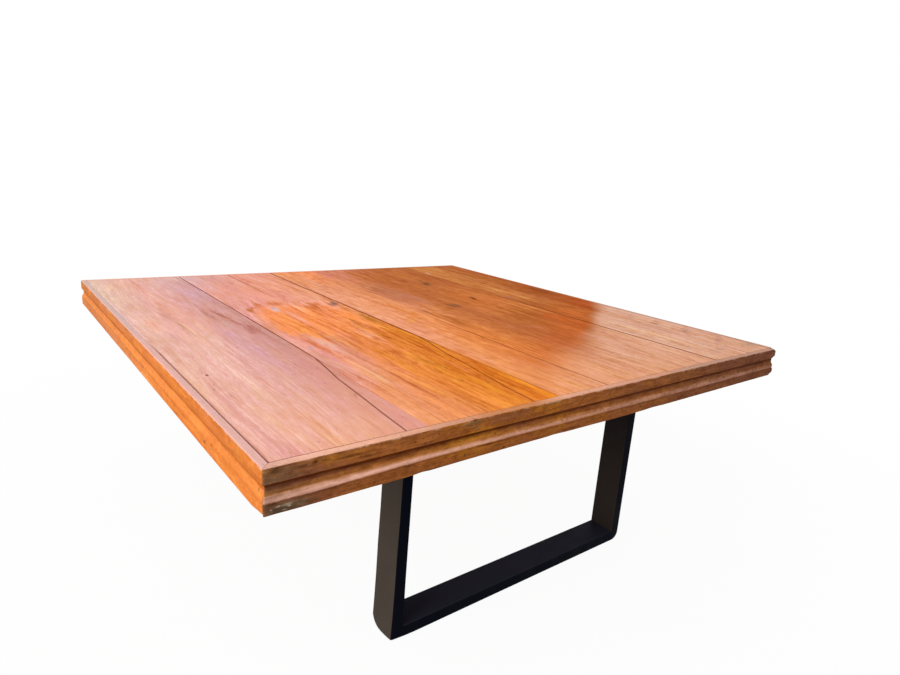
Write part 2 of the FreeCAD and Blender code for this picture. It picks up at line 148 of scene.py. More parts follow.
class Graph:
    """The nodes of one material or world, written as short expressions."""

    def __init__(self, owner):
        self.owner = owner
        owner.use_nodes = True
        self.tree = owner.node_tree
        self.tree.nodes.clear()
        if isinstance(owner, bpy.types.Material):
            self.place = self.node("ShaderNodeTexCoord").outputs["Object"]
            self.x, self.y, self.z = self.split(self.place)
            facing = self.node("ShaderNodeNewGeometry").outputs["True Normal"]
            self.facing_x, self.facing_y, self.facing_z = self.split(facing)

    def node(self, kind, inputs=None, **settings):
        made = self.tree.nodes.new(kind)
        for key, value in settings.items():
            setattr(made, key, value)
        for key, value in (inputs or {}).items():
            if isinstance(value, bpy.types.NodeSocket):
                self.tree.links.new(value, made.inputs[key])
            else:
                made.inputs[key].default_value = value
        return made

    def math(self, operation, a, b=0.0, c=0.0, clamp=False):
        inputs = {0: a, 1: b, 2: c}
        return self.node("ShaderNodeMath", inputs, operation=operation, use_clamp=clamp).outputs[0]

    def minus(self, a, b):
        return self.math("SUBTRACT", a, b)

    def total(self, *values):
        result = values[0]
        for value in values[1:]:
            result = self.math("ADD", result, value)
        return result

    def times(self, *values):
        result = values[0]
        for value in values[1:]:
            result = self.math("MULTIPLY", result, value)
        return result

    def vector(self, operation, a, b=(0, 0, 0), output="Vector"):
        return self.node("ShaderNodeVectorMath", {0: a, 1: b}, operation=operation).outputs[output]

    def length(self, vector):
        return self.vector("LENGTH", vector, output="Value")

    def split(self, vector):
        return self.node("ShaderNodeSeparateXYZ", {0: vector}).outputs

    def rgb(self, red, green, blue):
        return self.node("ShaderNodeCombineColor", {0: red, 1: green, 2: blue}).outputs[0]

    def mix(self, share, a, b, blend="MIX"):
        made = self.node("ShaderNodeMix", {0: share, 6: a, 7: b}, data_type="RGBA", blend_type=blend)
        made.clamp_factor = True
        return made.outputs[2]

    def moved(self, amount):
        """The place, moved by an amount along X, or by the three amounts of a list."""
        amounts = amount if isinstance(amount, list) else [amount]
        offset = self.node("ShaderNodeCombineXYZ", dict(enumerate(amounts))).outputs[0]
        return self.vector("ADD", self.place, offset)

    def mapped(self, place, shift, turn, scale, kind):
        inputs = {0: place, 1: shift, 2: turn, 3: scale}
        return self.node("ShaderNodeMapping", inputs, vector_type=kind).outputs[0]

    def noise(self, scale, shift=(0, 0, 0), detail=2.0, rough=0.5, warp=0.0, place=None):
        stretched = self.mapped(place or self.place, shift, (0, 0, 0), scale, "POINT")
        inputs = {"Vector": stretched, "Scale": 1.0, "Detail": detail}
        inputs.update({"Roughness": rough, "Distortion": warp})
        plain = self.node("ShaderNodeTexNoise", inputs).outputs[0]
        return self.spread(plain, NOISE_LOW, NOISE_HIGH)

    def swing(self, value, amount):
        """The value, 0 to 1, as a change up and down by half the amount."""
        return self.times(self.minus(value, 0.5), amount)

    def spread(self, value, low, high):
        """The value, from low to high, as 0 to 1 in a straight line."""
        return self.node("ShaderNodeMapRange", {0: value, 1: low, 2: high}).outputs[0]

    def step(self, value, low, high, out_low=0.0, out_high=1.0):
        """The value, from low to high, as a soft change from one value to another."""
        inputs = {0: value, 1: low, 2: high, 3: out_low, 4: out_high}
        return self.node("ShaderNodeMapRange", inputs, interpolation_type="SMOOTHSTEP").outputs[0]

    def ramp(self, value, stops):
        made = self.node("ShaderNodeValToRGB", {0: value})
        elements = made.color_ramp.elements
        while len(elements) < len(stops):
            elements.new(1.0)
        for element, (position, colour) in zip(elements, stops):
            element.position = position
            element.color = colour
        return made.outputs[0]

    def spot(self, place, x, y, half_x, half_y, turn, soft, square):
        """1 inside an ellipse in plan, or a rounded oblong, falling to 0 at its rim, in millimetres."""
        middle = (x / 1000, y / 1000, 0)
        sizes = (half_x / 1000, half_y / 1000, 1)
        local = self.mapped(place, middle, (0, 0, math.radians(turn)), sizes, "TEXTURE")
        if square:
            away = self.math("SQRT", self.length(self.vector("MULTIPLY", local, local)))
        else:
            away = self.length(local)
        return self.step(away, 1.0, 1.0 - soft)

    def finish(self, colour, rough, bump, strength, depth, coat=None, **levels):
        shader = self.node("ShaderNodeBsdfPrincipled", {"Base Color": colour, "Roughness": rough})
        inputs = {"Height": bump, "Strength": strength, "Distance": depth}
        normal = self.node("ShaderNodeBump", inputs).outputs[0]
        self.tree.links.new(normal, shader.inputs["Normal"])
        if coat is not None:
            self.tree.links.new(coat, shader.inputs["Coat Weight"])
        for key, value in levels.items():
            shader.inputs[key.replace("_", " ")].default_value = value
        self.node("ShaderNodeOutputMaterial", {0: shader.outputs[0]})
        return self.owner


def new_material(name):
    return Graph(bpy.data.materials.new(name))


# The planks' tones beside each joint, from the back to the front, as (place along Y, tone).
# Across most joints the tones run on. BESIDE_RIGHT has the right side of those where they change.
# On the left planks the pale pink and mauve tones are part wood colour and part painted sheen.
BESIDE_LEFT = (
    (),
    ((0.1, BLOOM), (-0.1, PETAL), (-0.6, PETAL), (-0.94, PEACH_WARM)),
    ((0.96, DUSTY), (0.6, HEATHER), (0.3, ROSE), (-0.2, ROSE), (-0.5, MAUVE_PINK), (-0.94, BLUSH)),
    ((0.96, SALMON), (0.6, CORAL), (0.1, CORAL), (-0.3, AMBER), (-0.6, TOFFEE)),
    (
        (0.96, CORAL), (0.7, APRICOT), (0.35, APRICOT), (0.0, AMBER),
        (-0.25, OCHRE), (-0.6, OCHRE), (-0.94, MARIGOLD),
    ),
    ((0.96, SUNNY), (0.65, COPPER_TAN), (0.0, TAN), (-0.35, AMBER), (-0.7, AMBER), (-0.94, WARM_TAN)),
    ((0.96, CORAL_BROWN), (0.84, NUT)),
    ((0.5, NUT), (0.15, COPPER), (0.0, COPPER), (-0.3, CHESTNUT), (-0.94, NUT)),
    ((0.5, NUT), (0.15, COPPER), (0.0, COPPER), (-0.2, CHESTNUT), (-0.94, NUT)),
    ((0.4, HONEY), (0.1, NUT), (-0.15, CHESTNUT), (-0.94, NUT)),
    ((0.96, NUT), (0.4, CHESTNUT), (0.15, RUST), (-0.02, CHESTNUT)),
)
BESIDE_RIGHT = {
    0: ((0.6, SAND), (0.4, PEACH), (-0.3, PEACH), (-0.6, SHELL), (-0.94, PETAL)),
    2: ((0.96, DUSTY), (0.6, SALMON), (-0.2, SALMON), (-0.5, BLUSH), (-0.75, FAWN)),
    3: ((0.35, CORAL), (0.0, AMBER), (-0.3, AMBER), (-0.6, TOFFEE)),
    4: ((0.96, TAN), (0.5, APRICOT), (-0.3, APRICOT), (-0.5, TAN), (-0.7, PEACH_ORANGE)),
    8: ((0.1, HONEY), (-0.1, CHESTNUT), (-0.94, NUT)),
    9: ((0.96, NUT), (0.4, CHESTNUT)),
}

# Where the joints run, at the back and at the front, with the two sides of the planking.
JOINT_X = (
    (-0.9587, -0.9587), (-0.8057, -0.8016), (-0.5949, -0.5897), (-0.3765, -0.3729),
    (-0.1700, -0.1714), (0.0498, 0.0261), (0.2655, 0.2405), (0.4197, 0.4132),
    (0.6120, 0.5938), (0.8266, 0.8068), (0.9605, 0.9605),
)
# How dark they are behind and before a place along Y, that place, and how far their dirt reaches.
JOINTS = (
    (0.0, 0.60, -0.1, 0.005), (0.0, 0.0, 0.0, 0.005), (0.55, 0.03, -0.38, 0.005),
    (0.50, 0.0, 0.48, 0.006), (0.80, 0.25, -0.31, 0.009), (0.10, 0.60, -0.2, 0.005),
    (0.15, 0.12, 0.0, 0.005), (0.12, 0.08, 0.0, 0.005), (0.40, 0.85, 0.12, 0.009),
    (0.15, 0.10, 0.0, 0.005), (0.3, 0.3, 0.0, 0.005),
)
# The splits: plank, joint and place along Y where it starts, drift to the left, and its path.
SPLITS = {
    2: (2, -0.392, 0.061, ((0, 0), (0.16, 0.20), (0.36, 0.49), (0.61, 0.68), (0.82, 0.87), (1, 1))),
    4: (4, -0.307, 0.090, ((0, 0), (0.13, 0.14), (0.33, 0.42), (0.54, 0.60), (0.82, 0.90), (1, 1))),
}
# How strong each plank's grain is.
GRAIN = (0.7, 0.65, 0.95, 1.05, 0.6, 0.6, 0.6, 0.6, 0.6, 0.6)
# How strong its light and dark are: slow bands, streaks, cloudy patches and fibres.
BROAD = (0.22, 0.24, 0.30, 0.32, 0.40, 0.36, 0.30, 0.85, 0.95, 0.70)
STREAKED = (0.54, 0.54, 0.58, 0.68, 0.70, 0.70, 0.50, 0.60, 0.85, 0.75)
MOTTLED = (0.20, 0.20, 0.24, 0.30, 0.70, 0.60, 0.45, 0.55, 0.65, 0.60)
FIBRED = (0.62, 0.64, 0.58, 0.80, 1.00, 1.20, 0.85, 0.85, 1.20, 1.00)

# Marks by plank: x, y, half width, half length, tone, strength, and where they differ from the
# usual softness and turn. Millimetres, degrees.
MARKS = {
    1: (
        (-905, 770, 24, 120, BUTTER, 0.75), (-902, 170, 34, 110, TAN, 0.4),
        (-838, 250, 30, 110, ROSE, 0.35), (-838, 860, 12, 90, SALMON, 0.5),
        (-816, 60, 20, 120, CREAM, 0.6), (-962, 330, 20, 260, LILAC, 0.45),
        (-880, -60, 18, 110, DUSTY, 0.6), (-835, -380, 16, 420, SHELL, 0.7, 0.8),
        (-880, -500, 9, 300, SHELL, 0.6, 0.8), (-862, -330, 7, 260, BLUSH, 0.7, 0.8),
        (-903, -432, 4, 8, KNOT, 0.9, 0.5, 10), (-866, -720, 5, 210, BLUSH, 0.7, SOFT, 1),
        (-922, -640, 14, 260, DUSTY, 0.35),
    ),
    2: (
        (-768, 60, 20, 260, PEACH_WARM, 0.6, 0.8), (-702, 210, 13, 130, BROWN_VEIN, 0.75, SOFT, 2),
        (-672, 250, 9, 66, BROWN_VEIN, 0.7, 0.8, 5), (-680, 150, 56, 170, BROWN_VEIN, 0.35, 0.95),
        (-665, 188, 9, 112, RED_VEIN, 0.75, SOFT, 9), (-652, 70, 12, 66, RED_VEIN, 0.65, SOFT, 10),
        (-640, -24, 26, 120, RED_VEIN, 0.7, 0.95), (-620, -70, 13, 120, RED_VEIN, 0.55),
        (-618, -200, 15, 120, BROWN_VEIN, 0.5), (-712, -230, 50, 270, LILAC_PINK, 0.8),
        (-716, -50, 34, 130, HEATHER, 0.6, 0.95), (-688, 56, 14, 78, SMOKE, 0.8, 0.8, 4),
        (-690, -640, 8, 60, ROSE, 0.8, 0.8), (-742, -560, 5, 240, ROSE, 0.45),
        (-668, -600, 4, 20, SOFT_VEIN, 0.8, 0.7, 25), (-640, -720, 4, 24, SOFT_VEIN, 0.8, 0.7, -20),
        (-668, -440, 4, 26, SOFT_VEIN, 0.7, 0.7, -12), (-706, -500, 3, 18, SOFT_VEIN, 0.7, 0.7, 14),
    ),
    3: (
        (-490, 300, 32, 62, BURNT, 0.75, 0.8, -10), (-420, 308, 44, 56, BURNT, 0.85, 0.8, 12),
        (-548, 236, 20, 60, OLIVE, 0.85, 0.8), (-522, 262, 12, 40, BURNT, 0.7, 0.8, -24),
        (-453, 222, 19, 54, SMOKE, 0.95, 0.8, -8), (-432, 110, 30, 170, MELON_PINK, 0.75),
        (-438, 20, 11, 190, MELON_PINK, 0.7, 0.8), (-410, -20, 18, 150, BRIGHT, 0.5),
        (-543, -110, 26, 130, BRIGHT, 0.6), (-495, -290, 26, 150, PEACH_WARM, 0.85, 0.8),
        (-532, -290, 14, 190, BURNT, 0.85, 0.85, 2), (-467, -225, 12, 100, BURNT, 0.75, 0.8),
        (-438, -270, 9, 120, FAWN, 0.75, 0.8), (-394, -280, 16, 100, BURNT, 0.75, 0.8),
        (-560, -300, 12, 30, SMOKE, 0.85, 0.8), (-580, -430, 16, 150, ROSE, 0.6),
        (-470, -700, 12, 260, BURNT, 0.6), (-425, -640, 8, 220, SUNNY, 0.6),
        (-515, -640, 8, 240, CREAM, 0.4),
    ),
    4: (
        (-303, 215, 42, 120, BURNT, 0.95, 0.8), (-240, 120, 56, 90, STAIN, 0.8, 0.8),
        (-250, 40, 50, 120, BRIGHT, 0.7), (-203, 232, 34, 56, KNOT_GREY, 0.95, 0.85, -14),
        (-196, -30, 26, 120, OLIVE, 0.9, 0.85), (-278, -92, 28, 90, OLIVE, 0.75),
        (-314, -235, 36, 110, APRICOT, 0.9), (-350, -300, 14, 120, BURNT, 0.7, 0.8),
        (-228, -420, 44, 400, OCHRE, 0.75), (-232, -130, 22, 66, BRIGHT, 0.8),
        (-290, -640, 70, 420, OCHRE, 0.85, 0.95), (-310, -560, 18, 170, OLIVE, 0.6, SOFT, 6),
        (-258, -640, 14, 120, SUNNY, 0.55), (-222, -700, 26, 220, MARIGOLD, 0.6),
        (-325, -746, 5, 8, KNOT, 0.8, 0.6), (-300, -640, 3, 7, KNOT, 0.7, 0.6),
        (-352, -560, 3, 9, KNOT, 0.6, 0.6), (-268, -790, 4, 14, KNOT, 0.6, 0.7, -8),
    ),
    5: (
        (-10, 60, 26, 160, GOLD, 0.35), (-162, -640, 16, 300, TOFFEE, 0.6),
        (-64, -120, 70, 26, PEACH_GOLD, 0.65, SOFT, 48), (-30, 760, 60, 240, SUNNY, 0.7),
        (-70, 700, 26, 180, CORAL, 0.5), (-130, -560, 30, 260, APRICOT, 0.5),
        (-20, -560, 40, 220, BURNT, 0.35), (-60, -300, 50, 30, AMBER, 0.5, SOFT, 40),
        (-90, -620, 60, 26, AMBER, 0.45, SOFT, 38), (-10, -60, 30, 80, GOLD, 0.5, SOFT, -14),
    ),
    6: (
        (130, 850, 108, 270, CORAL_BROWN, 0.95, 0.75), (90, -120, 60, 260, NUT, 0.6),
        (76, 900, 40, 210, CORAL_ROSE, 0.8), (84, -200, 50, 130, CHESTNUT, 0.6),
        (66, 0, 16, 110, KNOT_GREY, 0.35), (92, 120, 9, 120, FAWN, 0.4),
        (120, 60, 8, 110, RED_VEIN, 0.5), (130, 420, 7, 90, RED_VEIN, 0.4, 0.8),
        (262, 44, 42, 56, KNOT, 0.55), (257, 44, 22, 30, DRY_KNOT, 0.85, 0.7),
    ),
    7: (
        (266, 40, 38, 54, KNOT, 0.6), (256, 46, 22, 30, DRY_KNOT, 0.85, 0.7),
        (374, 588, 16, 46, RUST, 0.85, 0.8, -14), (352, 360, 13, 36, RUST, 0.75, 0.8, -16),
        (290, 560, 10, 110, RUST, 0.4), (320, 590, 12, 90, AMBER, 0.4),
        (300, 900, 60, 90, CORAL_BROWN, 0.6), (384, 700, 34, 130, GOLD_BROWN, 0.6),
        (330, -380, 40, 60, CORAL_BROWN, 0.4, SOFT, 30),
    ),
    8: (
        (462, 700, 44, 150, GOLD_BROWN, 0.6, SOFT, 10), (586, 640, 14, 260, CHESTNUT, 0.6),
        (434, 340, 34, 80, CHESTNUT, 0.5), (436, 500, 70, 104, BROWN_HALO, 0.55, 0.95, -24),
        (440, 490, 40, 48, KNOT, 0.85, SOFT, -30), (444, 128, 14, 52, DARK_STREAK, 0.95, 0.8, -14),
        (500, 60, 60, 120, AMBER, 0.35), (525, -262, 40, 70, EMBER_LIGHT, 0.75, SOFT, 20),
        (480, -130, 56, 60, OLIVE, 0.6, SOFT, 34), (520, 330, 40, 160, COPPER, 0.5),
    ),
    9: (
        (715, 620, 70, 400, HONEY, 0.85, 0.8), (705, 262, 22, 80, LIGHT_HONEY, 0.75),
        (704, 70, 26, 60, LIGHT_HONEY, 0.7), (640, 760, 26, 50, PALE_TAN, 0.35, SOFT, -30),
        (712, 200, 26, 150, AMBER, 0.4), (622, 90, 28, 60, ROSE_BROWN, 0.65),
        (700, -160, 50, 120, OLIVE, 0.5, SOFT, 20), (668, -240, 70, 100, EMBER_GOLD, 0.8, SOFT, 28),
        (775, 900, 46, 100, LIGHT_HONEY, 0.6),
    ),
    10: (
        (886, 170, 70, 130, RUST, 0.7), (822, 590, 15, 130, RUST, 0.6),
        (850, 560, 40, 70, OLIVE, 0.35, SOFT, 24), (900, 480, 60, 40, OLIVE, 0.35, SOFT, 34),
    ),
}
# Marks in the painted sheen near the right front corner, in the same form.
SHEEN_MARKS = {
    6: (
        (170, -800, 9, 150, STREAK_TAN, 0.45),
    ),
    7: (
        (316, -720, 14, 200, STREAK_TAN, 0.75), (345, -560, 10, 70, STREAK_TAN, 0.5),
        (384, -680, 12, 150, STREAK_TAN, 0.5), (270, -720, 20, 160, SALT_TAN, 0.6),
    ),
    8: (
        (445, -760, 9, 130, STREAK_TAN, 0.5, SOFT, -8), (520, -680, 50, 260, SALT_TAN, 0.7),
        (560, -640, 10, 200, CREAM_TAN, 0.5),
    ),
    9: (
        (612, -640, 11, 330, CREAM_TAN, 0.7), (695, -560, 56, 330, CREAM_TAN, 0.8),
        (656, -790, 12, 120, STREAK_TAN, 0.85), (668, -480, 10, 90, STREAK_TAN, 0.45),
        (792, -560, 20, 190, STREAK_TAN, 0.6), (720, -890, 90, 26, MAUVE_TAN, 0.6, SOFT, 20),
    ),
    10: (
        (826, -540, 16, 160, STREAK_TAN, 0.5), (880, -330, 110, 16, SALT_TAN, 0.5, SOFT, 36),
        (880, -400, 110, 14, MAUVE_TAN, 0.8, SOFT, 36),
        (890, -520, 120, 18, DUSK_TAN, 0.8, SOFT, 34),
        (880, -590, 110, 12, CREAM_TAN, 0.6, SOFT, 34),
        (890, -660, 120, 20, DUSK_TAN, 0.85, SOFT, 32),
        (880, -730, 120, 12, SALT_TAN, 0.6, SOFT, 30),
        (890, -800, 120, 22, DUSK_TAN, 0.8, SOFT, 28),
        (880, -880, 110, 14, CREAM_TAN, 0.4, SOFT, 24), (940, -900, 60, 50, OLIVE_TAN, 0.6),
    ),
}
# Stains with straighter sides, in the same form.
STAINS = {
    3: (
        (-378, 44, 212, 296, MELON, 0.85, 0.4), (-378, 26, 196, 262, STAIN, 0.9, 0.3),
    ),
    4: (
        (-378, 44, 200, 296, MELON, 0.6, 0.5), (-378, 26, 190, 262, STAIN, 0.9, 0.4),
    ),
    6: (
        (140, 346, 104, 310, CLAY, 0.85, 0.6),
    ),
}


# How far apart the planks' noises are taken.
SEED_STEP = 3.7
# Marks narrower or shorter than this, in millimetres, keep their place more closely.
FINE_WIDTH = 17
FINE_LENGTH = 62
# The painted sheen: the first plank it reaches, and the slope of the line where it begins.
FIRST_SHEEN = 5
SLANT = -0.70


def paint(g, colour, place, x, y, half_x, half_y, mark, strength, soft=SOFT, turn=0, square=False):
    """The colour with one mark painted over it."""
    inside = g.spot(place, x, y, half_x, half_y, turn, soft, square)
    return g.mix(g.times(inside, strength), colour, mark)


def joint_place(g, number):
    """Where a joint is along X, for the place's own Y."""
    back, front = JOINT_X[number]
    slope = (back - front) / (2 * PANEL_HALF)
    return g.math("MULTIPLY_ADD", g.y, slope, (back + front) / 2)


def joint_shares(g, number):
    """How dark the joints at a plank's left and right side are."""
    shares = []
    for back, front, turn, _ in JOINTS[number - 1:number + 1]:
        shares.append(g.step(g.y, turn + 0.12, turn - 0.12, back, front))
    return shares


def split_share(g, number):
    """1 at the rims of a plank's split, falling to 0 beside it."""
    joint, start, drift, path = SPLITS[number]
    way = g.spread(g.y, start, -PANEL_HALF)
    aside = g.ramp(way, [(position, grey(value)) for position, value in path])
    middle = g.minus(joint_place(g, joint), g.times(aside, drift))
    away = g.math("ABSOLUTE", g.minus(g.x, middle))
    return g.times(g.step(away, 0.0045, 0.001), g.step(way, 0.0, 0.03))


def plank_noises(g, number):
    """The noises that a plank's wood is made of, most of them stretched along its grain."""
    seed = SEED_STEP * number
    grain = g.moved(g.swing(g.noise((1.3, 1.3, 1), (seed, 0, 0), 0.0), 0.05))
    return SimpleNamespace(
        fibres=g.noise((150, 8, 60), (seed, seed, 0), 4.0, 0.65, 0.2, grain),
        streaks=g.noise((46, 3.0, 12), (seed, 0, 0), 4.0, 0.62, 0.1, grain),
        bands=g.noise((15, 1.7, 5), (0, seed, 0), 3.0, 0.6, 0.15, grain),
        tints=g.noise((24, 3.8, 6), (seed, 3.1, 0), 3.0, 0.6, 0.3, grain),
        mottle=g.noise((36, 22, 20), (seed, 2.0, 0), 4.0, 0.65),
        pores=g.noise((520, 46, 60), (seed, 0, 0), 2.0, 0.6, 0.0, grain),
        flecks=g.noise((210, 60, 60), (2.0, seed, 0), 2.0, 0.5, 0.0, grain),
    )


def plank_tones(g, n, number, from_left, to_right):
    """The slow change of tone between a plank's joints with its marks, and the place for more marks."""
    # The way that tones run into each other follows the fibres.
    lengthwise = g.total(g.swing(n.fibres, 0.10), g.swing(n.streaks, 0.16), g.swing(n.mottle, 0.06))
    loose = g.moved([g.swing(n.mottle, 0.022), lengthwise])
    loose = g.vector("MULTIPLY", loose, (1, 1, 0))
    close = g.moved([g.swing(n.mottle, 0.009), g.times(lengthwise, 0.2)])
    close = g.vector("MULTIPLY", close, (1, 1, 0))
    along = g.total(g.y, g.total(lengthwise, g.swing(n.bands, 0.25)))
    run = g.spread(along, PANEL_HALF, -PANEL_HALF)
    sides = []
    for tones in (BESIDE_RIGHT.get(number - 1, BESIDE_LEFT[number - 1]), BESIDE_LEFT[number]):
        sides.append(g.ramp(run, [((PANEL_HALF - y) / (2 * PANEL_HALF), tint) for y, tint in tones]))
    across = g.math("DIVIDE", from_left, g.total(from_left, to_right))
    # Near the joints the tones hold, so that they meet the neighbour's.
    sway = g.times(g.step(from_left, 0.0, 0.03), g.step(to_right, 0.0, 0.03))
    sway = g.times(g.total(g.swing(n.streaks, 0.35), g.swing(n.bands, 0.45)), sway)
    colour = g.mix(g.step(g.total(across, sway), 0.0, 1.0), sides[0], sides[1])
    for stain in STAINS.get(number, ()):
        colour = paint(g, colour, loose, *stain, square=True)
    for mark in MARKS[number]:
        half_x, half_y = mark[2:4]
        fine = min(half_x, half_y) < FINE_WIDTH or half_y < FINE_LENGTH
        colour = paint(g, colour, close if fine else loose, *mark)
    return colour, close


def painted_sheen(g, n, number, colour, close):
    """The colour with a painted sheen nearer than a slanting line, and how much of it there is."""
    slant = g.vector("DOT_PRODUCT", g.place, (SLANT, 1, 0), "Value")
    sway = g.total(g.swing(g.noise((6, 6, 1), (1.3, 2.7, 0)), 0.03), g.swing(n.mottle, 0.014))
    shift = g.total(g.step(g.x, 0.85, 0.5, 0.838, 0.866), g.step(g.x, 0.36, 0.1, 0.0, -0.036))
    beyond = g.total(slant, shift, sway, g.swing(n.fibres, 0.02))
    # Just beyond the sheen's line the colour is redder.
    red = g.times(g.step(beyond, 0.0, 0.06), g.step(beyond, 0.34, 0.1), g.step(g.x, 0.0, 0.7, 0.3, 0.9))
    red = g.times(red, 0.55 if number == 9 else 1.0, g.step(n.mottle, 0.1, 0.6, 0.4, 1.0))
    colour = g.mix(red, colour, CINDER if number == 10 else EMBER)
    softness = g.total(g.step(g.x, -0.1, 0.7, 0.16, 0.042), g.step(g.x, 0.8, 0.92, 0.0, 0.03))
    pale = g.step(g.math("DIVIDE", beyond, softness), 1.0, -1.0)
    warm = g.mix(g.step(g.x, -0.15, 0.5), WARM_TAN, PALE_TAN)
    cool = GREY_TAN if number >= 9 else SALMON_TAN
    sheen_tone = g.mix(g.step(n.mottle, 0.2, 0.9, 0.0, 0.6), warm, cool)
    for mark in SHEEN_MARKS.get(number, ()):
        sheen_tone = paint(g, sheen_tone, close, *mark)
    return g.mix(g.times(pale, 0.95), colour, sheen_tone), pale


def grain_shade(g, n, number, pale):
    """What the grain multiplies a plank's colour by."""
    strength = GRAIN[number - 1]
    light = g.total(g.swing(n.bands, BROAD[number - 1]), g.swing(n.streaks, STREAKED[number - 1]))
    light = g.total(light, g.swing(n.mottle, MOTTLED[number - 1]), g.swing(n.fibres, FIBRED[number - 1]))
    light = g.total(light, g.swing(n.pores, 0.4))
    if number in (3, 4):
        # Towards the back the grain is weaker: a painted sheen hides part of it there.
        strength = g.times(g.step(g.y, 0.2, 0.45, 1.0, 0.62), strength)
    light = g.times(light, strength)
    hue = g.times(g.swing(n.tints, 1.0), strength)
    if pale is not None:
        # Inside the painted sheen the grain is dappled, and its hue swings less.
        dapple = g.noise((74, 60, 40), (0.4, SEED_STEP * number, 0), 3.0, 0.7)
        sheen_light = g.total(g.swing(dapple, 0.44), g.swing(n.mottle, 0.30))
        sheen_light = g.total(sheen_light, g.swing(n.fibres, 0.46), g.swing(n.streaks, 0.52))
        light = g.mix(g.times(pale, 0.8), light, sheen_light)
        hue = g.times(hue, g.step(pale, 0.0, 1.0, 1.0, 0.8))
    light = g.math("MAXIMUM", g.total(light, 1.0), 0.3)
    red = g.times(g.math("POWER", light, 0.6), 1.03)
    green = g.times(light, g.math("MULTIPLY_ADD", hue, -0.10, 0.99))
    tinted = g.math("MULTIPLY_ADD", hue, 0.22 if number < 3 else 0.36, 0.95)
    return g.rgb(red, green, g.times(g.math("POWER", light, 1.35), tinted))


def joint_dirt(g, n, number, colour, from_left, to_right, joints):
    """The colour with dirt along the joints, the splits and the plank's front end."""
    near_left = g.times(g.step(from_left, JOINTS[number - 1][3], 0.001), joints[0])
    near_right = g.times(g.step(to_right, JOINTS[number][3], 0.001), joints[1])
    colour = g.mix(g.times(g.total(near_left, near_right), 0.75), colour, GROOVE)
    if number in SPLITS:
        colour = g.mix(g.times(split_share(g, number), 0.6), colour, GROOVE)
    end = g.step(g.total(g.y, PANEL_HALF), 0.004, 0.0012)
    end = g.times(end, g.step(g.x, -0.45, -0.85, 0.3, 0.7), g.step(n.mottle, 0.1, 0.5, 0.5, 1.0))
    return g.mix(end, colour, GROOVE)


def plank_sides(g, n, number, colour, joints):
    """The colour with the plank's chamfers, walls and underside in tones of their own, and painted shade
    and light in the gaps.
    """
    # The joints' walls are as dark as the joint is there, and further down they are painted dark all over
    # as shade in the gap.
    side_share = g.mix(g.step(g.facing_x, -0.1, 0.1), joints[0], joints[1])
    end_share = g.step(g.x, -0.70, -0.76, 0.12, 0.5)
    wall_share = g.mix(g.step(g.math("ABSOLUTE", g.facing_y), 0.2, 0.4), side_share, end_share)
    chamfer = g.times(g.step(g.facing_z, 0.92, 0.82), wall_share, 0.7)
    colour = g.mix(chamfer, colour, GROOVE)
    deep = g.step(g.z, TOP - 0.002, TOP - 0.007)
    wall = g.math("MAXIMUM", g.math("MULTIPLY", wall_share, 2.2, clamp=True), deep)
    colour = g.mix(g.times(g.step(g.facing_z, 0.5, 0.3), wall), colour, GROOVE)
    if number == 1:
        # Towards the back the left gap's walls are painted pale: painted light that offsets the gap's
        # shade.
        lit_gap = g.times(g.step(g.facing_x, -0.5, -0.8), g.step(g.y, -0.25, 0.1))
        lit_gap = g.times(lit_gap, g.step(g.z, TOP - 0.006, TOP - 0.003), 0.8)
        colour = g.mix(lit_gap, colour, GAP_LIGHT)
    return g.mix(g.step(g.facing_z, -0.3, -0.5), colour, g.mix(n.fibres, RAW_DARK, RAW))


def board_material(number):
    """Oiled hardwood: tones and marks, a painted sheen, grain, flecks, pores, dirt, painted shade and
    painted light in the gaps, and gloss.
    """
    g = new_material("oiled_wood_%02d" % number)
    n = plank_noises(g, number)
    from_left = g.minus(g.x, joint_place(g, number - 1))
    to_right = g.minus(joint_place(g, number), g.x)
    colour, close = plank_tones(g, n, number, from_left, to_right)
    # pale: how much of the painted sheen lies over the place.
    pale = None
    if number >= FIRST_SHEEN:
        colour, pale = painted_sheen(g, n, number, colour, close)
    colour = g.mix(1.0, colour, grain_shade(g, n, number, pale), "MULTIPLY")
    speck = g.times(g.step(n.flecks, 0.86, 1.0), g.step(n.tints, 0.45, 0.75), 0.5)
    colour = g.mix(speck, colour, KNOT)
    joints = joint_shares(g, number)
    colour = joint_dirt(g, n, number, colour, from_left, to_right, joints)

    # The paler and bluer the tone, the more of it is painted sheen: a share of it is taken off the colour,
    # and the coat gives that part back as gloss.
    bluish = g.node("ShaderNodeSeparateColor", {0: colour}).outputs[2]
    gloss = g.step(bluish, 0.03, 0.42, 0.02, 0.85)
    given_back = g.times(gloss, 0.17)
    colour = g.mix(1.0, colour, g.rgb(given_back, given_back, given_back), "SUBTRACT")
    colour = plank_sides(g, n, number, colour, joints)

    rough = g.total(0.42, g.swing(n.fibres, 0.14))
    height = g.total(g.times(n.fibres, 0.6), g.times(n.pores, 0.4))
    coat = g.times(gloss, g.step(g.facing_z, 0.5, 0.9))
    return g.finish(colour, rough, height, 0.2, 0.0005, coat, Specular_IOR_Level=0.0, Coat_Roughness=0.22)


def dress(piece, material):
    """Give a piece one material in place of what it has."""
    piece.data.materials.clear()
    piece.data.materials.append(material)


for number in range(1, 11):
    dress(nodes["top_board_%02d" % number], board_material(number))


# The edge mouldings' section, the rounding of their vertical corners, the length of a step along
# a side, the steps around half a corner, and the angle below which their faces shade smoothly
THICK = 0.0195
DEPTH = 0.100
LIP = 0.035
RIDGE = 0.069
COVE = 0.0072
ROUND = 0.007
STEP = 0.006
CORNER_STEPS = 6
SMOOTH_BELOW = 38
# How far apart the sides' noises are taken.
SIDE_SEED_STEP = 11.3
# How deep into the moulding its marks reach: right through.
MARK_DEPTH = 9


